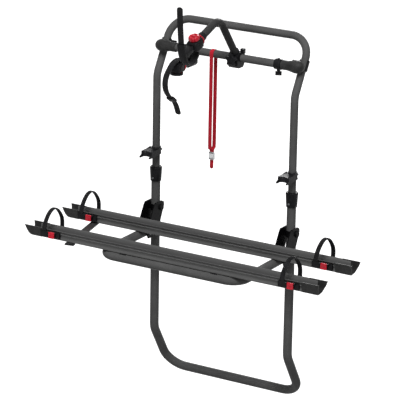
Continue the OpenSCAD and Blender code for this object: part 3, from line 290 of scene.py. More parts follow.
def finish_of(
    name, base, shade, rough, grain_mm, bump_mm, patch_mm, specular, stretch=(1, 1, 1), **more
):
    """A real finish: its colour drifts between base and shade in broad patches, its
    roughness in the same patches, and a fine grain stands up by bump_mm."""
    material = bpy.data.materials.new(name)
    tree = cleared(material)
    where = add(tree, "ShaderNodeTexCoord").outputs["Object"]
    along = add(tree, "ShaderNodeMapping", {"Vector": where, "Scale": stretch}).outputs["Vector"]
    coarse = {"Vector": along, "Scale": 1000 / patch_mm, "Detail": 4.0, "Roughness": 0.6}
    fine = {"Vector": along, "Scale": 1000 / grain_mm, "Detail": 2.0, "Roughness": 0.5}
    patch = add(tree, "ShaderNodeTexNoise", coarse).outputs["Fac"]
    grain = add(tree, "ShaderNodeTexNoise", fine).outputs["Fac"]
    both = add(tree, "ShaderNodeMath", {0: patch, 1: grain}, operation="MULTIPLY").outputs[0]
    share = add(tree, "ShaderNodeMapRange", {"Value": both, **SHADE_NOISE}).outputs[0]
    ends = {0: share, 6: (*linear(shade), 1), 7: (*base, 1)}
    colour = add(tree, "ShaderNodeMix", ends, data_type="RGBA").outputs[2]
    spread = {**ROUGH_NOISE, "To Min": rough - ROUGH_SPREAD, "To Max": rough + ROUGH_SPREAD}
    roughness = add(tree, "ShaderNodeMapRange", {"Value": patch, **spread}).outputs[0]
    raised = {"Height": grain, "Strength": 1.0, "Distance": bump_mm * MM}
    bump = add(tree, "ShaderNodeBump", raised).outputs["Normal"]
    sockets = {"Base Color": colour, "Roughness": roughness, "Normal": bump, **more}
    sockets["Specular IOR Level"] = specular
    shader = add(tree, "ShaderNodeBsdfPrincipled", sockets)
    add(tree, "ShaderNodeOutputMaterial", {"Surface": shader.outputs[0]})
    return material


# Spacing of the webbing's ribs across the strap and of its threads along it, about twice
# as coarse as real polyester so that they show, how high they stand, in millimetres, and
# how much of the shade colour is mixed into the hollows between them as painted shade
RIB_MM = 1.9635
THREAD_MM = 1.428
CLOTH_MM = 0.3
HOLLOW_PAINTED_SHADE = 0.15


def webbing_of(name, base, shade):
    """Woven polyester: ribs and threads from the piece's weave attribute, which holds the
    distance along and across the strap in millimetres. A wave of the texture is as long as
    pi over ten times its scale. The hollows between ribs and threads are darkened towards the
    shade colour, which is painted shade."""
    sheen = {"Sheen Weight": 0.1, "Sheen Roughness": 0.5}
    material = finish_of(name, base, shade, 0.7, 1.2, 0.05, 60, 0.2, **sheen)
    tree = material.node_tree
    shader = next(n for n in tree.nodes if n.type == "BSDF_PRINCIPLED")
    plain = shader.inputs["Base Color"].links[0].from_socket
    weave = add(tree, "ShaderNodeAttribute", attribute_name="weave").outputs["Vector"]
    ribs, threads = (
        add(tree, "ShaderNodeTexWave", {"Vector": weave, "Scale": scale}, bands_direction=way)
        for scale, way in ((np.pi / 10 / RIB_MM, "X"), (np.pi / 10 / THREAD_MM, "Y"))
    )
    both = {0: ribs.outputs["Fac"], 1: threads.outputs["Fac"]}
    cloth = add(tree, "ShaderNodeMath", both, operation="MULTIPLY").outputs[0]
    raised = {"Height": cloth, "Strength": 0.7, "Distance": CLOTH_MM * MM}
    bump = add(tree, "ShaderNodeBump", raised).outputs["Normal"]
    # Painted shade: the hollows between ribs and threads are mixed towards the shade colour
    painted_shade_span = {"Value": cloth, "To Min": HOLLOW_PAINTED_SHADE, "To Max": 0.0}
    hollow = add(tree, "ShaderNodeMapRange", painted_shade_span).outputs[0]
    ends = {0: hollow, 6: plain, 7: (*linear(shade), 1)}
    mixed = add(tree, "ShaderNodeMix", ends, data_type="RGBA").outputs[2]
    tree.links.new(bump, shader.inputs["Normal"])
    tree.links.new(mixed, shader.inputs["Base Color"])
    return material


def finishes():
    """The rack's finishes, made once. The numbers after a finish's two colours are its
    roughness, the size of its grain and how far that stands up, and the size of its
    patches, all three in millimetres, and its specular level."""
    if "powder coated aluminium" not in bpy.data.materials:
        c = bpy.context.scene.rack_colours
        zinc, cast = linear("#5e5f61"), linear("#c9cacb")
        metal = {"Metallic": 1.0}
        # Anthracite powder coat on drawn aluminium tube: satin, with a faint orange peel
        finish_of("powder coated aluminium", c.tube, "#4b4b4b", 0.4, 2.2, 0.03, 90, 0.02)
        # The same coat on extruded channel: its grain is drawn out along X, like die lines
        drawn = (0.02, 1, 1)
        finish_of("powder coated channel", c.channel, "#575757", 0.42, 1.4, 0.03, 90, 0.02, drawn)
        # The arms' own tubes and the stabiliser bar: the same coat, a darker batch
        finish_of("dark powder coat", c.arm, "#2e2e2e", 0.42, 2.0, 0.03, 90, 0.03)
        # End caps and wall brackets: nylon with the dull grey bloom of a spark eroded mould
        finish_of("bloomed grey nylon", c.caps, "#202020", 0.46, 0.9, 0.04, 30, 0.1)
        # Glass filled nylon, moulded: nearly black, with a spark eroded grain that dulls it
        finish_of("moulded black nylon", c.plastic, "#08080a", 0.42, 0.9, 0.04, 30, 0.07)
        # Black powder coat on steel plate: darker than the nylon beside it, a little smoother
        finish_of("black coated steel", c.plate, "#060607", 0.38, 1.8, 0.03, 40, 0.03)
        # Zinc plated steel: dark between its glints, with the dull bloom of plating
        finish_of("zinc plated steel", zinc, "#48494b", 0.4, 0.8, 0.01, 12, 0.5, **metal)
        # Die cast and tumbled zinc: bright, so that it shows pale between the red straps
        finish_of("bright cast zinc", cast, "#a9aaab", 0.34, 0.7, 0.02, 10, 0.5, **metal)
        # Moulded polyurethane: the ladder straps' dark, slightly greasy sheen
        finish_of("moulded polyurethane", c.ladder, "#0b0b0c", 0.42, 1.0, 0.04, 25, 0.08)
        # Pigmented acetal: even red with a soft gloss
        finish_of("moulded red acetal", c.red, "#a30c22", 0.32, 1.1, 0.015, 40, 0.3)
        # Woven polyester: red ribs that catch the light one by one, with painted shade in the
        # hollows between them
        webbing_of("woven red polyester", c.webbing, "#a30a1c")
    return bpy.data.materials


def wear(names, finish):
    """Gives CAD nodes a finish."""
    for name in names.split():
        for s in NODES[name].material_slots:
            s.material = finishes()[finish]


# In degrees: faces that turn by less than the first angle are joined into one, and edges
# sharper than the second are rounded
FLAT_ANGLE = 1
SHARP_ANGLE = 40


def eased(names, width_mm):
    """Rounds the edges of boxy CAD nodes with live modifiers: their loose triangles are
    welded, flat faces joined and sharp edges bevelled."""
    for name in names.split():
        piece = NODES[name]
        piece.modifiers.new("weld", "WELD").merge_threshold = WELD * 10
        flat = piece.modifiers.new("flat", "DECIMATE")
        flat.decimate_type = "DISSOLVE"
        flat.angle_limit = np.radians(FLAT_ANGLE)
        bevel = piece.modifiers.new("bevel", "BEVEL")
        bevel.width = width_mm * MM
        bevel.segments = 3
        bevel.limit_method = "ANGLE"
        bevel.angle_limit = np.radians(SHARP_ANGLE)


# What a user would change


def length(name, description, millimetres):
    """A length property in metres, shown in the scene's unit."""
    kind = {"default": millimetres * MM, "unit": "LENGTH", "precision": 4}
    return FloatProperty(name=name, description=description, **kind)


def colour(name, description, code):
    """A colour property whose default is an sRGB hex colour."""
    kind = {"default": linear(code), "size": 3, "subtype": "COLOR", "min": 0, "max": 1}
    return FloatVectorProperty(name=name, description=description, **kind)


class RackColours(bpy.types.PropertyGroup):
    tube: colour("Tube", "Powder coat of the tubes", "#5c5c5c")
    channel: colour("Channel", "Powder coat of the wheel channels", "#656565")
    arm: colour("Arm tube", "Powder coat of the arms and the stabiliser bar", "#454545")
    caps: colour("Grey nylon", "End caps and wall brackets", "#393939")
    plastic: colour("Nylon", "Black moulded parts", "#222224")
    plate: colour("Plate", "Coated steel plates", "#121213")
    ladder: colour("Ladder strap", "Polyurethane straps", "#262628")
    red: colour("Red plastic", "Levers, rings and tension knobs", "#c8102a")
    webbing: colour("Webbing", "Woven strap", "#cc1c34")


class RackSizes(bpy.types.PropertyGroup):
    tooth_pitch: length("Tooth pitch", "Distance between the teeth of a ladder strap", 6.0)
    tooth_height: length("Tooth height", "Height of the teeth over the strap", 1.1)
    wheel_strap_width: length("Wheel strap width", "Width of the straps over the wheels", 19.0)
    arm_strap_width: length("Arm strap width", "Width of the straps at the arms' heads", 25.0)
    webbing_width: length("Webbing width", "Width of the red woven strap", 16.0)
    webbing_thickness: length("Webbing thickness", "Thickness of the red woven strap", 2.0)
    knob_radius: length("Knob radius", "Radius of the star knobs over their lobes", 25.0)
    dial_radius: length("Tension knob radius", "Radius of the red tension knobs", 21.5)


def mm(name):
    """A size property in millimetres."""
    return getattr(bpy.context.scene.rack_sizes, name) * 1000


# Pieces


class PieceOperator:
    """What the operators share: each makes its pieces in one step that can be undone."""

    bl_options = {"REGISTER", "UNDO"}

    def execute(self, context):
        self.make_pieces()
        return {"FINISHED"}


# What the nodes that stay as packed are made of, by finish
WORN = {
    "powder coated aluminium": "lower_frame upper_frame rail_support cross_bar",
    "dark powder coat": "arm_tube_long arm_tube_short stabiliser_bar",
    "bloomed grey nylon": "bracket_left bracket_right",
    "moulded black nylon": "collars rail_saddles stabiliser_shoes bracket_saddles clamp_band "
    "wing_knob clip_left clip_right arm_clamp_long arm_clamp_short neck_collar_long strap_bases",
    "black coated steel": "pivot_rings pivot_nuts "
    "cheek_left_outer cheek_left_inner cheek_right_inner cheek_right_outer",
    "zinc plated steel": "frame_screws arm_bolts rail_bolts bracket_bolts "
    "clip_bolt_left clip_bolt_right",
    "bright cast zinc": "cam_buckle cam_lever",
    "moulded red acetal": "neck_ring_long neck_ring_short",
}
# The nodes whose edges are rounded, by the width of the rounding in millimetres
ROUNDED = {
    0.8: "wing_knob clamp_band strap_bases cam_buckle",
    1.0: "cheek_left_outer cheek_left_inner cheek_right_inner cheek_right_outer stabiliser_bar",
    1.6: "clip_left clip_right arm_clamp_long arm_clamp_short bracket_saddles rail_saddles "
    "stabiliser_shoes",
}


class RACK_OT_frame_finishes(PieceOperator, bpy.types.Operator):
    """Gives the tubes, plates and fasteners that stay as packed their finishes"""

    bl_idname = "rack.frame_finishes"
    bl_label = "Frame Finishes"

    def make_pieces(self):
        for finish, names in WORN.items():
            wear(names, finish)
        for width, names in ROUNDED.items():
            eased(names, width)


# Half of the channel's section as (across, up): from the middle of its underside up to the
# bead, and from the bead down its inner wall to the middle of its floor
CHANNEL_OUT = [[0, 0], [22, 0], [25.0, 0.4], [27.0, 1.8], [27.4, 4.2], [26.5, 8], [25.8, 12]]
CHANNEL_OUT += [[25.8, 15.5], [26.8, 19], [28.5, 22.3], [30.4, 25.2], [30.0, 26.3]]
CHANNEL_GROOVE = [[26.2, 26.7], [25.6, 28.0], [28.2, 35.2], [29.2, 35.8]]
CHANNEL_IN = [[28.9, 37.0], [27.2, 34.6], [24.4, 28.2], [23.4, 20], [22.8, 13], [22.4, 6]]
CHANNEL_FLOOR = [[20.2, 2.4], [10.4, 2.4], [9.6, 3.6], [7.4, 3.6], [6.6, 2.4], [0, 2.4]]
BEAD_AT = [30.0, 36.7]
BEAD_RADIUS = 1.0


def channel_outline():
    """Half of the channel's section: a hollow wall with a groove under a bead, which is an
    arc from 80 degrees under its middle to 170 over it, and two low ribs on the floor."""
    a = np.radians(np.linspace(-80, 170, 12))
    bead = BEAD_RADIUS * np.stack([np.cos(a), np.sin(a)], 1) + BEAD_AT
    return np.vstack([CHANNEL_OUT, CHANNEL_GROOVE, bead, CHANNEL_IN, CHANNEL_FLOOR])


def mirrored(half):
    """A closed outline from its right half: the half, then its mirror image backwards."""
    return np.vstack([half, (half * [-1, 1])[::-1][1:-1]])


class RACK_OT_channels(PieceOperator, bpy.types.Operator):
    """Makes the two extruded wheel channels with their rolled lips, grooves and floor ribs"""

    bl_idname = "rack.channels"
    bl_label = "Wheel Channels"

    def make_pieces(self):
        outline = mirrored(channel_outline())
        for place_name, y in RAIL_Y.items():
            path = np.array([[x, y, RAIL_Z] for x in (-RAIL_END, 0.0, RAIL_END)])
            grids, replaced = [swept(path, -Y, outline)], ["rail_" + place_name]
            name, finish = "channel_" + place_name, "powder coated channel"
            make(name, grids, finish, "platform", replaced, sharp=40)


# Halves of a cap's section as (across, up): its outside, and its inside where it covers the
# channel and in the nose
CAP_OUT = [[0, -1], [23.6, -1], [26.0, 0], [28, 3.6], [30.0, 13], [31.2, 22], [31.4, 27]]
CAP_OUT += [[31.6, 30.6], [32.7, 33], [32.7, 37], [31.4, 38.7], [28.4, 38.7], [26.6, 37.4]]
CAP_COVER = [[28.4, 37.95], [31.2, 37.9], [31.9, 36.4], [31.9, 33.4], [30.8, 27], [29.6, 14.9]]
CAP_COVER += [[27.0, 2.8], [23.8, -0.2], [0, -0.2]]
CAP_NOSE = [[27.4, 36.2], [27.6, 35], [27.6, 33.4], [27.4, 28], [26.6, 20], [25.6, 13]]
CAP_NOSE += [[24.0, 5.6], [21.8, 2.6], [0, 2.2]]
CAP_HALF_WIDTH = 31.5
CAP_STATIONS = 14
# The share of the section's height that is gone at the nose's point, and how far the nose's
# edge draws back on its square side
NOSE_SQUEEZE = 0.957
NOSE_BACK = 9


class RACK_OT_end_caps(PieceOperator, bpy.types.Operator):
    """Makes the moulded caps whose undersides rise like a boat's bow at the channels' ends"""

    bl_idname = "rack.end_caps"
    bl_label = "End Caps"

    def make_pieces(self):
        for place_name, y in RAIL_Y.items():
            grids = [self.cap(s) + [0, y, RAIL_Z] for s in (-1, 1)]
            name, replaced = "end_caps_of_" + place_name + "_channel", ["end_caps_" + place_name]
            make(name, grids, "bloomed grey nylon", "platform", replaced, sharp=35)

    @staticmethod
    def cap(s):
        """The section round the channel, then the nose's, with u the share of the nose that
        is passed and a going from 0 on the square side to 1 on the pointed side: the section
        is squeezed up to its rim by the nose's squeeze times u^2.9 a^2.8, and its edge draws
        back by the nose's back times 1 - a^1.5, and by half of that at the rim."""
        cover, nose = (mirrored(np.vstack([CAP_OUT, inside])) for inside in (CAP_COVER, CAP_NOSE))
        ring = np.concatenate([[cover] * 3, [nose] * CAP_STATIONS])
        u = np.concatenate([[0, 0, 0], np.linspace(0, 1, CAP_STATIONS)])[:, None]
        x = np.concatenate([[CAP_IN, CAP_IN + 1], np.full(len(u) - 2, RAIL_END)])[:, None]
        across, up = ring[..., 0], ring[..., 1]
        top = up.max()
        a = np.clip((1 + s * across / CAP_HALF_WIDTH) / 2, 0, 1)
        z = top - (top - up) * (1 - NOSE_SQUEEZE * u**2.9 * a**2.8)
        back = NOSE_BACK * (1 - a**1.5) * (1 - 0.5 * up / top)
        return np.stack([s * (x + u * (CAP_END - RAIL_END - back)), across, z], 2)


# A ladder strap's outline: across in halves of its width, level in thicknesses, and 1 where
# the teeth stand. A tooth starts, is full, is full no more and ends at shares of the pitch
LADDER_ACROSS = np.array([-1, -0.94, -0.8, -0.74, 0.74, 0.8, 0.94, 1, 0.94, -0.94])
LADDER_LEVEL = np.array([0, 0.4, 0.5, 0.22, 0.22, 0.5, 0.4, 0, -0.5, -0.5])
LADDER_TEETH = np.array([0, 0, 0, 1, 1, 0, 0, 0, 0, 0])
TOOTH = np.array([0.0, 0.2, 0.55, 0.75])


def ladder(path, side, width, thick, bare, tip=0.0):
    """A toothed strap along the path. Across it run a rounded edge, a plain border and the
    teeth between the borders, which rise by the tooth height over a trapezoid of each pitch.
    bare is the length without teeth at its start and end. Over the last tip of its length
    the width is rounded to a tenth, as the square root of one less the share's square."""
    pitch, rise = mm("tooth_pitch"), mm("tooth_height")
    total = lengths(path)[-1]
    count = int((total - sum(bare)) / pitch)
    before = np.linspace(0, bare[0] - 0.5, 5)
    teeth = bare[0] + (np.arange(count)[:, None] * pitch + pitch * TOOTH).ravel()
    after = np.linspace(teeth[-1] + 1, total - tip, 6)
    if tip:
        rounding = np.sin(np.linspace(0.2, np.pi / 2, 7))
        after = np.concatenate([after, total - tip + tip * rounding])
    s = np.concatenate([before, teeth, after])
    high = np.concatenate([0 * before, np.tile([0, 1, 1, 0], count), 0 * after]) * rise
    end = np.clip((s - total + tip) / tip, 0, 0.995) if tip else 0 * s
    across = (width / 2 * np.sqrt(1 - end**2))[:, None] * LADDER_ACROSS
    up = LADDER_LEVEL * thick + high[:, None] * LADDER_TEETH
    return swept(at_lengths(path, s), side, np.stack([across, up], 2))


def sleeve(path, side, width, thick, edge):
    """A rounded box carried along a path."""
    w, t = width / 2, thick / 2
    return swept(path, side, soften([[-w, -t], [w, -t], [w, t], [-w, t]], r=edge, n=4))


# A wheel strap's thickness and toothless ends, how far along X its far foot stands from its
# near one and its top leans, and half the distance between its feet and the heights of its
# feet and top, at the middle of its thickness
STRAP_THICK = 2.6
STRAP_BARE = (14, 14)
STRAP_SKEW = 34.0
STRAP_LEAN = 6.0
STRAP_BOX = in_mm(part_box("wheel_strap_front_left"))
FOOT_HALF = (np.ptp(STRAP_BOX[:, 1]) - STRAP_THICK) / 2
STRAP_LOW, STRAP_HIGH = STRAP_BOX[:, 2] - [0, STRAP_THICK / 2]
# The arch's line, as shares across and up
ARCH = [[-1, 0], [-0.98, 0.2], [-0.87, 0.45], [-0.68, 0.685], [-0.46, 0.86], [-0.22, 0.965]]
ARCH += [[0.04, 1], [0.22, 0.965], [0.4, 0.885], [0.6, 0.757], [0.8, 0.59], [0.93, 0.41]]
ARCH += [[0.985, 0.2], [1, 0]]
WHEEL_PLACES = [(f, s) for f in RAIL_Y for s in FOOT_X]


class RACK_OT_wheel_straps(PieceOperator, bpy.types.Operator):
    """Makes the four toothed straps that arch over the wheels"""

    bl_idname = "rack.wheel_straps"
    bl_label = "Wheel Straps"

    def make_pieces(self):
        # Along X the arch goes on by half its skew for each half of its way across, and by
        # its lean for its whole height
        across, up = np.array(ARCH).T
        x = STRAP_SKEW / 2 * (1 + across) + STRAP_LEAN * up
        z = STRAP_LOW + up * (STRAP_HIGH - STRAP_LOW)
        line = through(np.stack([x, FOOT_HALF * across, z], 1))
        for f, s in WHEEL_PLACES:
            path = line + [FOOT_X[s], RAIL_Y[f], 0]
            grids = [ladder(path, X, mm("wheel_strap_width"), STRAP_THICK, STRAP_BARE)]
            name, replaced = f"toothed_strap_{f}_{s}", [f"wheel_strap_{f}_{s}"]
            finish = "moulded polyurethane"
            make(name, grids, finish, "platform", replaced, sharp=50)


# A buckle lever's side view about its pin, as (away from the vehicle, up), and its width
LEVER_SIDE = [[-3.2, 4.2], [3.6, 4.2], [4.2, -5], [3.7, -12], [5.8, -18.2], [5, -20]]
LEVER_SIDE += [[1, -19.2], [-3.0, -17]]
LEVER_WIDTH = 25.6
# The finger ribs' half length, how far out and how low under the pin they are, and their
# width, height and rounding
RIB_HALF = 7.6
RIB_OUT = 3.6
RIB_LOW = (6.8, 10.0, 13.2)
RIB_SIZE = (1.4, 1.2, 0.5)


class RACK_OT_levers(PieceOperator, bpy.types.Operator):
    """Makes the four red buckle levers with their finger ribs"""

    bl_idname = "rack.levers"
    bl_label = "Buckle Levers"

    def make_pieces(self):
        side_view = soften(LEVER_SIDE, r=2.4, n=7)
        for f, s in WHEEL_PLACES:
            pin = in_mm(PIVOTS[f"lever_{f}_{s}_open"])
            grids = [place(slab(side_view, LEVER_WIDTH, edge=1.8), pin, -Y, Z)]
            for low in RIB_LOW:
                path = np.outer([-RIB_HALF, 0, RIB_HALF], X) + pin - [0, RIB_OUT, low]
                grids.append(sleeve(path, Y, *RIB_SIZE))
            name, replaced = f"red_lever_{f}_{s}", [f"buckle_lever_{f}_{s}"]
            make(name, grids, "moulded red acetal", f"lever_{f}_{s}", replaced)


# The lines of the arms' straps along a head's across and along axes, in hundreds of
# millimetres, and how far the short arm's strap lies to the side of its arm
LONG_LINE = [
    [[0.13, 0.22], [0.5, 0.3], [0.66, 0.8], [0.44, 1.02]],
    [[0.44, 1.02], [0.33, 1.14], [-0.1, 1.22], [-0.53, 1.12]],
    [[-0.53, 1.12], [-0.96, 1.02], [-1.48, 0.9], [-1.87, 0.77]],
]
SHORT_LINE = [
    [[0.25, 0.02], [0.42, 0.2], [0.44, 0.62], [0.2, 0.92]],
    [[0.2, 0.92], [0.04, 1.12], [-0.12, 1.33], [-0.42, 1.32]],
    [[-0.42, 1.32], [-0.72, 1.31], [-0.94, 1.05], [-1.12, 0.78]],
    [[-1.12, 0.78], [-1.3, 0.51], [-1.6, 0.42], [-1.8, 0.32]],
]
SHORT_SHIFT = 13.76


def head_path(which):
    """The line (a, b) of a head's strap in the frame: origin + a*across + b*along, and on
    the short arm a shift sideways."""
    origin, side, across, along = HEADS[which]
    line = curve(LONG_LINE if which == "long" else SHORT_LINE, 60) * 100
    shift = 0.0 if which == "long" else SHORT_SHIFT
    return origin + side * shift + line[:, :1] * across + line[:, 1:] * along


# An arm's strap: its thickness, its toothless ends and its rounded tip. Its catch: width,
# thickness and rounding, and the points of the strap's line that it covers
ARM_STRAP_THICK = 3.0
ARM_STRAP_BARE = (10, 9)
ARM_STRAP_TIP = 9
CATCH_SIZE = (30, 12.5, 3)
CATCH_POINTS = {"long": slice(81, 119), "short": slice(164, 183)}
# The side view of the block that carries the long arm's catch, and its width
BLOCK_SIDE = [[-12, 57], [9, 57], [11, 62], [11, 106], [2, 113], [-12, 111]]
BLOCK_WIDTH = 25


class RACK_OT_arm_straps(PieceOperator, bpy.types.Operator):
    """Makes the toothed straps at the arms' heads and the catches that hold them"""

    bl_idname = "rack.arm_straps"
    bl_label = "Arm Straps"

    def make_pieces(self):
        width = mm("arm_strap_width")
        for which, (origin, side, across, along) in HEADS.items():
            path, head = head_path(which), which + "_head"
            grids = [ladder(path, -side, width, ARM_STRAP_THICK, ARM_STRAP_BARE, ARM_STRAP_TIP)]
            name, replaced = "toothed_strap_" + which, ["ladder_strap_" + which]
            make(name, grids, "moulded polyurethane", head, replaced, sharp=50)
            grids = [sleeve(evenly(path[CATCH_POINTS[which]], 14), side, *CATCH_SIZE)]
            if which == "long":
                block = slab(soften(BLOCK_SIDE, r=4), BLOCK_WIDTH, edge=3)
                grids.append(place(block, origin, across, along))
            name, replaced = "strap_catch_of_" + which + "_arm", ["strap_catch_" + which]
            make(name, grids, "moulded black nylon", head, replaced)


# A head's side view, as (across, along), and its width, then the same of the low rib on
# each of its sides, with the rib's place, and of the short head's tab
HEAD_SIDE = [[-16, 0.2], [-18, 7], [-18, 46], [-11, 54], [13, 54], [22, 43], [22, 5]]
HEAD_SIDE += [[17, 0.2]]
HEAD_WIDTH = 46
HEAD_RIB = [[-9, 12], [12, 12], [14, 38], [-6, 42]]
HEAD_RIB_THICK = 2.4
HEAD_RIB_AT = 22.6
TAB_SIDE = [[12, 6], [34, 6], [34, 18], [12, 18]]
TAB_WIDTH = 26
# Halves of the sections of the collar under a tension knob and of the short head's skirt
# round it, as (radius, out)
COLLAR = [[0, 0], [17.4, 0], [17.4, 1.6], [16.6, 2.4], [0, 2.4]]
SKIRT = [[22.2, 0], [24.5, 0], [24.5, 9.2], [23.7, 10], [22.9, 10], [22.2, 9.2]]
# How far out of the head and along it the collar, the skirt and the tension knob start
COLLAR_AT = (16.9, 25.9)
SKIRT_AT = (18, 25.92)
DIAL_AT = (18.4, 25.92)


def knob_place(which, at):
    """The place in the frame that is so far out of a head's knob side and along the head."""
    origin, _, across, along = HEADS[which]
    return origin + along * at[1] - across * at[0]


class RACK_OT_heads(PieceOperator, bpy.types.Operator):
    """Makes the two moulded head housings that carry the tension knobs"""

    bl_idname = "rack.heads"
    bl_label = "Head Housings"

    def make_pieces(self):
        housing = slab(soften(HEAD_SIDE, r=6, n=7), HEAD_WIDTH, edge=8, n=7)
        rib = slab(soften(HEAD_RIB, r=5), HEAD_RIB_THICK, edge=1.0)
        tab = slab(soften(TAB_SIDE, r=3), TAB_WIDTH, edge=2.5)
        for which, (origin, side, across, along) in HEADS.items():
            grids = [place(housing, origin, across, along)]
            grids.append(place(turned(COLLAR), knob_place(which, COLLAR_AT), side, along))
            for k in (-1, 1):
                grids.append(place(rib, origin + side * k * HEAD_RIB_AT, across, along))
            if which == "short":
                skirt = place(turned(SKIRT), knob_place(which, SKIRT_AT), side, along)
                grids += [(skirt, True), place(tab, origin + side * SHORT_SHIFT, across, along)]
            name, replaced = "head_of_" + which + "_arm", ["head_housing_" + which]
            make(name, grids, "moulded black nylon", which + "_head", replaced)


# How high the tension knobs are, half the section of their rim in radii and heights, the
# number of hollows round it and their depth in radii
DIAL_HIGH = {"long": 19.0, "short": 14.0}
DIAL_RIM = [[0, 0], [0.9, 0], [0.97, 0.06], [1, 0.16], [1, 0.34], [0.98, 0.5], [0.94, 0.64]]
DIAL_RIM += [[0.87, 0.76], [0.78, 0.86], [0.68, 0.92]]
DIAL_DIPS = 6
DIAL_DIP = 0.09
# How deep the finger hollows in a knob's top are, how far to either side of the grip bar's
# middle, and half their width and length
HOLLOW_DEEP = 6.0
HOLLOW_ASIDE = 9.0
HOLLOW_WIDE = 4.2
HOLLOW_LONG = 11.0


class RACK_OT_tension_knobs(PieceOperator, bpy.types.Operator):
    """Makes the red tension knobs: domes with six finger hollows and a grip bar"""

    bl_idname = "rack.tension_knobs"
    bl_label = "Tension Knobs"

    def make_pieces(self):
        for which, (_, side, _, along) in HEADS.items():
            base = knob_place(which, DIAL_AT)
            grids = [place(self.dome(DIAL_HIGH[which]), base, side, along)]
            name, replaced = "tension_knob_" + which, ["tension_dial_" + which]
            body = which + "_dial"
            make(name, grids, "moulded red acetal", body, replaced, sharp=45)

    @staticmethod
    def dome(high):
        """(r cos t, r sin t, z): the radius dips by the dip times cos(6t)^2 where that cosine
        is above 0, fading from 0.9 to 0.6 radii, and the top sinks by the hollow's depth times
        exp(-a^4) exp(-b^4), with a and b the shares of its half width and half length."""
        share = np.linspace(0.6, 0.0, 12)
        top = np.stack([share, 1 - 0.1 * share**2 - 0.02], 1)
        radii, heights = np.vstack([DIAL_RIM, top]).T[..., None]
        t = np.linspace(0, 2 * np.pi, 96, endpoint=False)
        dip = DIAL_DIP * np.clip(np.cos(DIAL_DIPS * t), 0, 1) ** 2
        r = radii * (1 - dip * np.clip((radii - 0.6) / 0.3, 0, 1)) * mm("dial_radius")
        x, y = r * np.cos(t), r * np.sin(t)
        a, b = (np.abs(y) - HOLLOW_ASIDE) / HOLLOW_WIDE, x / HOLLOW_LONG
        hollow = HOLLOW_DEEP * np.exp(-(a**4)) * np.exp(-(b**4))
        return np.stack([x, y, heights * high - np.where(heights > 0.5, hollow, 0)], 2)


# Half the section of a star knob's hub and screw, as (radius, out), how far out its star's
# middle is and how thick it is, and its lobes: number, depth in radii and turn in degrees
HUB = [[0, 15], [4.5, 15], [4.5, 32.3], [9, 32.3], [10.5, 36], [10.5, 52], [9.8, 53.4]]
HUB += [[7.5, 54], [7, 53], [0, 53]]
STAR_OUT = 44.5
STAR_THICK = 13
LOBES = 5
LOBE_DEEP = 0.17
LOBE_TURN = 18


class RACK_OT_star_knobs(PieceOperator, bpy.types.Operator):
    """Makes the five-lobed knobs that tighten the arms' clamps"""

    bl_idname = "rack.star_knobs"
    bl_label = "Star Knobs"

    def make_pieces(self):
        t = np.linspace(0, 2 * np.pi, 120, endpoint=False)
        # The radius falls from a lobe's tip by the lobes' depth times 1 less the cosine of
        # the angle times their number
        lobe = np.cos(LOBES * (t - np.radians(LOBE_TURN)))
        r = mm("knob_radius") * (1 - LOBE_DEEP + LOBE_DEEP * lobe)
        star = slab(np.stack([r * np.cos(t), r * np.sin(t)], 1), STAR_THICK, edge=4, n=6)
        for which, x in ARM_X.items():
            at = BAR + [x, 0, 0]
            grids = [place(star, at - [0, STAR_OUT, 0], X, Z), place(turned(HUB), at, X, Z)]
            name, replaced = "star_knob_" + which, ["clamp_knob_" + which]
            body = which + "_knob"
            make(name, grids, "moulded black nylon", body, replaced, sharp=40)


# The webbing: its place along the cross bar, which is its buckle's, half the width of its
# loop, how far under the bar's middle the loop ends at the buckle, the line of the tail
# below as (towards the vehicle, up) from the bar's middle, and the tail's rounded tip
WEBBING_X = in_mm(PIVOTS["cam_lever_open"])[0]
LOOP_HALF = 16.3
LOOP_FOOT = -386.6
TAIL = [[0, -417.6], [0.2, -430], [-0.5, -444], [0.3, -453.6]]
TAIL_TIP = 7
LOOP_STATIONS = 420
TAIL_STATIONS = 40


class RACK_OT_webbing(PieceOperator, bpy.types.Operator):
    """Makes the red woven strap that hangs from the cross bar"""

    bl_idname = "rack.webbing"
    bl_label = "Red Webbing"

    def make_pieces(self):
        # A flat section with cut corners goes up one side of the loop, over the bar on a half
        # circle and down the other side, and then down the tail, which narrows at its tip
        w, h = mm("webbing_width") / 2, mm("webbing_thickness") / 2
        section = np.array([[-w, 0], [-w + 0.5, h], [0, h], [w - 0.5, h]])
        section = np.vstack([section, -section])
        a = np.radians(np.linspace(180, 0, 13))
        over = LOOP_HALF * np.stack([np.cos(a), np.sin(a)], 1)
        left = [[-2.5, LOOP_FOOT], [-4, LOOP_FOOT + 6.5], [-12, LOOP_FOOT + 16]]
        left += [[-LOOP_HALF, LOOP_FOOT + 30], [-LOOP_HALF, LOOP_FOOT / 2], [-LOOP_HALF, -40]]
        right = (np.array(left) * [-1, 1])[::-1]
        line = through(np.vstack([left, over, right]), 10)
        tail = through(TAIL, 12)
        grids, weave = [], []
        for p, n, tip in ((line, LOOP_STATIONS, 0), (tail, TAIL_STATIONS, TAIL_TIP)):
            path = BAR + np.hstack([np.full((n, 1), WEBBING_X), evenly(p, n)])
            s = lengths(path)
            end = np.clip((s - s[-1] + tip) / tip, 0, 0.97) if tip else 0 * s
            share = np.stack([np.sqrt(1 - end**2), np.ones(n)], 1)
            grids.append(swept(path, X, section * share[:, None]))
            along_and_across = [np.repeat(s, len(section)), np.tile(section[:, 0], n)]
            weave.append(np.stack([*along_and_across, np.zeros(n * len(section))], 1))
        name, finish, replaced = "red_webbing", "woven red polyester", ["security_strap"]
        make(name, grids, finish, "security", replaced, sharp=60, weave=weave)


# The stage, in metres and watts. The floor: half its side, its height, its paint, and how
# bright it is to the camera. The sky: how bright it is to the pieces; the camera sees white
FLOOR_HALF = 30
FLOOR_Z = -0.45
FLOOR_PAINT = (0.4, 0.4, 0.4, 1)
FLOOR_GLOW = 0.93
SKY_LIGHT = 0.09
WHITE = (1, 1, 1, 1)
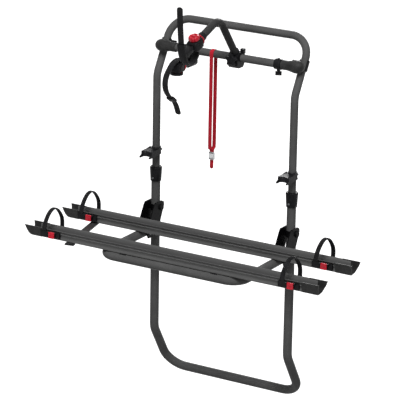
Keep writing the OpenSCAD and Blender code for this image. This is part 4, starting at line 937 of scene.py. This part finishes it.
# The lamps' places, sides and power, and the point that they aim at
LAMPS = {
    "key": ((4.6, -7.8, 15.2), 7.0, 3000.0),
    "fill": ((0.6, -7.4, 1.0), 3.0, 66.0),
    "back": ((-2.0, 6.5, 3.4), 3.0, 260.0),
}
AIM = [0, -0.2, 0.8]
# The photograph's camera: its place, its azimuth, height angle and roll in degrees, and its
# sensor's width and focal length in millimetres
CAMERA_AT = (4.5668, -8.0266, 3.6804)
CAMERA_TURN = [30.535, 17.704, 0.983]
SENSOR = 36.0
LENS = 225.9


def posed(x, y, z, at):
    """The matrix that puts a thing's own axes along x, y and z at a place."""
    return Matrix(np.vstack([np.column_stack([x, y, z, at]), [0, 0, 0, 1]]).tolist())


class RACK_OT_stage(PieceOperator, bpy.types.Operator):
    """Makes the floor, the soft studio light and the camera at the photograph's angle"""

    bl_idname = "rack.stage"
    bl_label = "Stage"

    def make_pieces(self):
        self.floor()
        self.light()
        self.camera()

    @staticmethod
    def seen_share(tree):
        """1 for what the camera, a reflection or a clear material sees, 0 for other light."""
        path = add(tree, "ShaderNodeLightPath").outputs
        seen = {0: path["Is Camera Ray"], 1: path["Is Glossy Ray"]}
        seen = add(tree, "ShaderNodeMath", seen, operation="MAXIMUM").outputs[0]
        seen = {0: seen, 1: path["Is Transmission Ray"]}
        return add(tree, "ShaderNodeMath", seen, operation="MAXIMUM").outputs[0]

    def floor(self):
        """A wide pale square that the camera sees nearly white, so that the shadows on it
        stay faint."""
        mesh = bpy.data.meshes.new("floor")
        corners = [(-1, -1), (1, -1), (1, 1), (-1, 1)]
        corners = [(x * FLOOR_HALF, y * FLOOR_HALF, FLOOR_Z) for x, y in corners]
        mesh.from_pydata(corners, [], [(0, 1, 2, 3)])
        material = bpy.data.materials.new("pale floor")
        tree = cleared(material)
        paint = add(tree, "ShaderNodeBsdfDiffuse", {"Color": FLOOR_PAINT}).outputs[0]
        glow = {0: self.seen_share(tree), 1: FLOOR_GLOW}
        glow = add(tree, "ShaderNodeMath", glow, operation="MULTIPLY").outputs[0]
        glow = add(tree, "ShaderNodeEmission", {"Strength": glow}).outputs[0]
        both = add(tree, "ShaderNodeAddShader", {0: paint, 1: glow}).outputs[0]
        add(tree, "ShaderNodeOutputMaterial", {"Surface": both})
        mesh.materials.append(material)
        floor = bpy.data.objects.new("floor", mesh)
        bpy.context.scene.collection.objects.link(floor)

    def light(self):
        """A dim sky that the camera sees white, and the square lamps."""
        world = bpy.data.worlds.new("studio")
        bpy.context.scene.world = world
        tree = cleared(world)
        soft, white = (
            add(tree, "ShaderNodeBackground", {"Color": WHITE, "Strength": strength}).outputs[0]
            for strength in (SKY_LIGHT, 1.0)
        )
        either = {0: self.seen_share(tree), 1: soft, 2: white}
        sky = add(tree, "ShaderNodeMixShader", either).outputs[0]
        add(tree, "ShaderNodeOutputWorld", {"Surface": sky})
        for name, (at, size, watts) in LAMPS.items():
            data = bpy.data.lights.new(name, "AREA")
            data.size, data.energy = size, watts
            lamp = bpy.data.objects.new(name, data)
            bpy.context.scene.collection.objects.link(lamp)
            aim = unit(np.array(at) - AIM)
            side = unit(np.cross(Z, aim))
            lamp.matrix_world = posed(side, np.cross(aim, side), aim, at)

    @staticmethod
    def camera():
        """Right, down and forward axes from the azimuth and height angle, turned by the roll."""
        azimuth, height, roll = np.radians(CAMERA_TURN)
        right = np.array([np.cos(azimuth), np.sin(azimuth), 0])
        level = np.array([-np.sin(azimuth), np.cos(azimuth), 0])
        forward = level * np.cos(height) - Z * np.sin(height)
        down = np.cross(forward, right)
        x = np.cos(roll) * right - np.sin(roll) * down
        y = -np.sin(roll) * right - np.cos(roll) * down
        data = bpy.data.cameras.new("camera")
        data.sensor_width, data.lens = SENSOR, LENS
        data.clip_start, data.clip_end = 0.5, 100
        camera = bpy.data.objects.new("camera", data)
        bpy.context.scene.collection.objects.link(camera)
        camera.matrix_world = posed(x, y, -forward, CAMERA_AT)
        bpy.context.scene.camera = camera
        bpy.context.scene.view_settings.view_transform = "Standard"


STEPS = [
    RACK_OT_stage,
    RACK_OT_frame_finishes,
    RACK_OT_channels,
    RACK_OT_end_caps,
    RACK_OT_wheel_straps,
    RACK_OT_levers,
    RACK_OT_arm_straps,
    RACK_OT_heads,
    RACK_OT_tension_knobs,
    RACK_OT_star_knobs,
    RACK_OT_webbing,
]


class RACK_PT_panel(bpy.types.Panel):
    """Lists the rack's pieces, sizes and colours"""

    bl_idname = "RACK_PT_panel"
    bl_label = "Bike Rack"
    bl_space_type = "VIEW_3D"
    bl_region_type = "UI"
    bl_category = "Bike Rack"

    def draw(self, context):
        for step in STEPS:
            self.layout.operator(step.bl_idname)
        for group in (context.scene.rack_sizes, context.scene.rack_colours):
            for name in group.bl_rna.properties.keys():
                if name not in ("rna_type", "name"):
                    self.layout.prop(group, name)


CLASSES = [RackColours, RackSizes, *STEPS, RACK_PT_panel]


def register():
    for c in CLASSES:
        bpy.utils.register_class(c)
    bpy.types.Scene.rack_colours = PointerProperty(type=RackColours)
    bpy.types.Scene.rack_sizes = PointerProperty(type=RackSizes)


def unregister():
    del bpy.types.Scene.rack_sizes
    del bpy.types.Scene.rack_colours
    for c in reversed(CLASSES):
        bpy.utils.unregister_class(c)


def main():
    register()
    for step in STEPS:
        module, operator = step.bl_idname.split(".")
        getattr(getattr(bpy.ops, module), operator)()


if __name__ == "__main__":
    main()
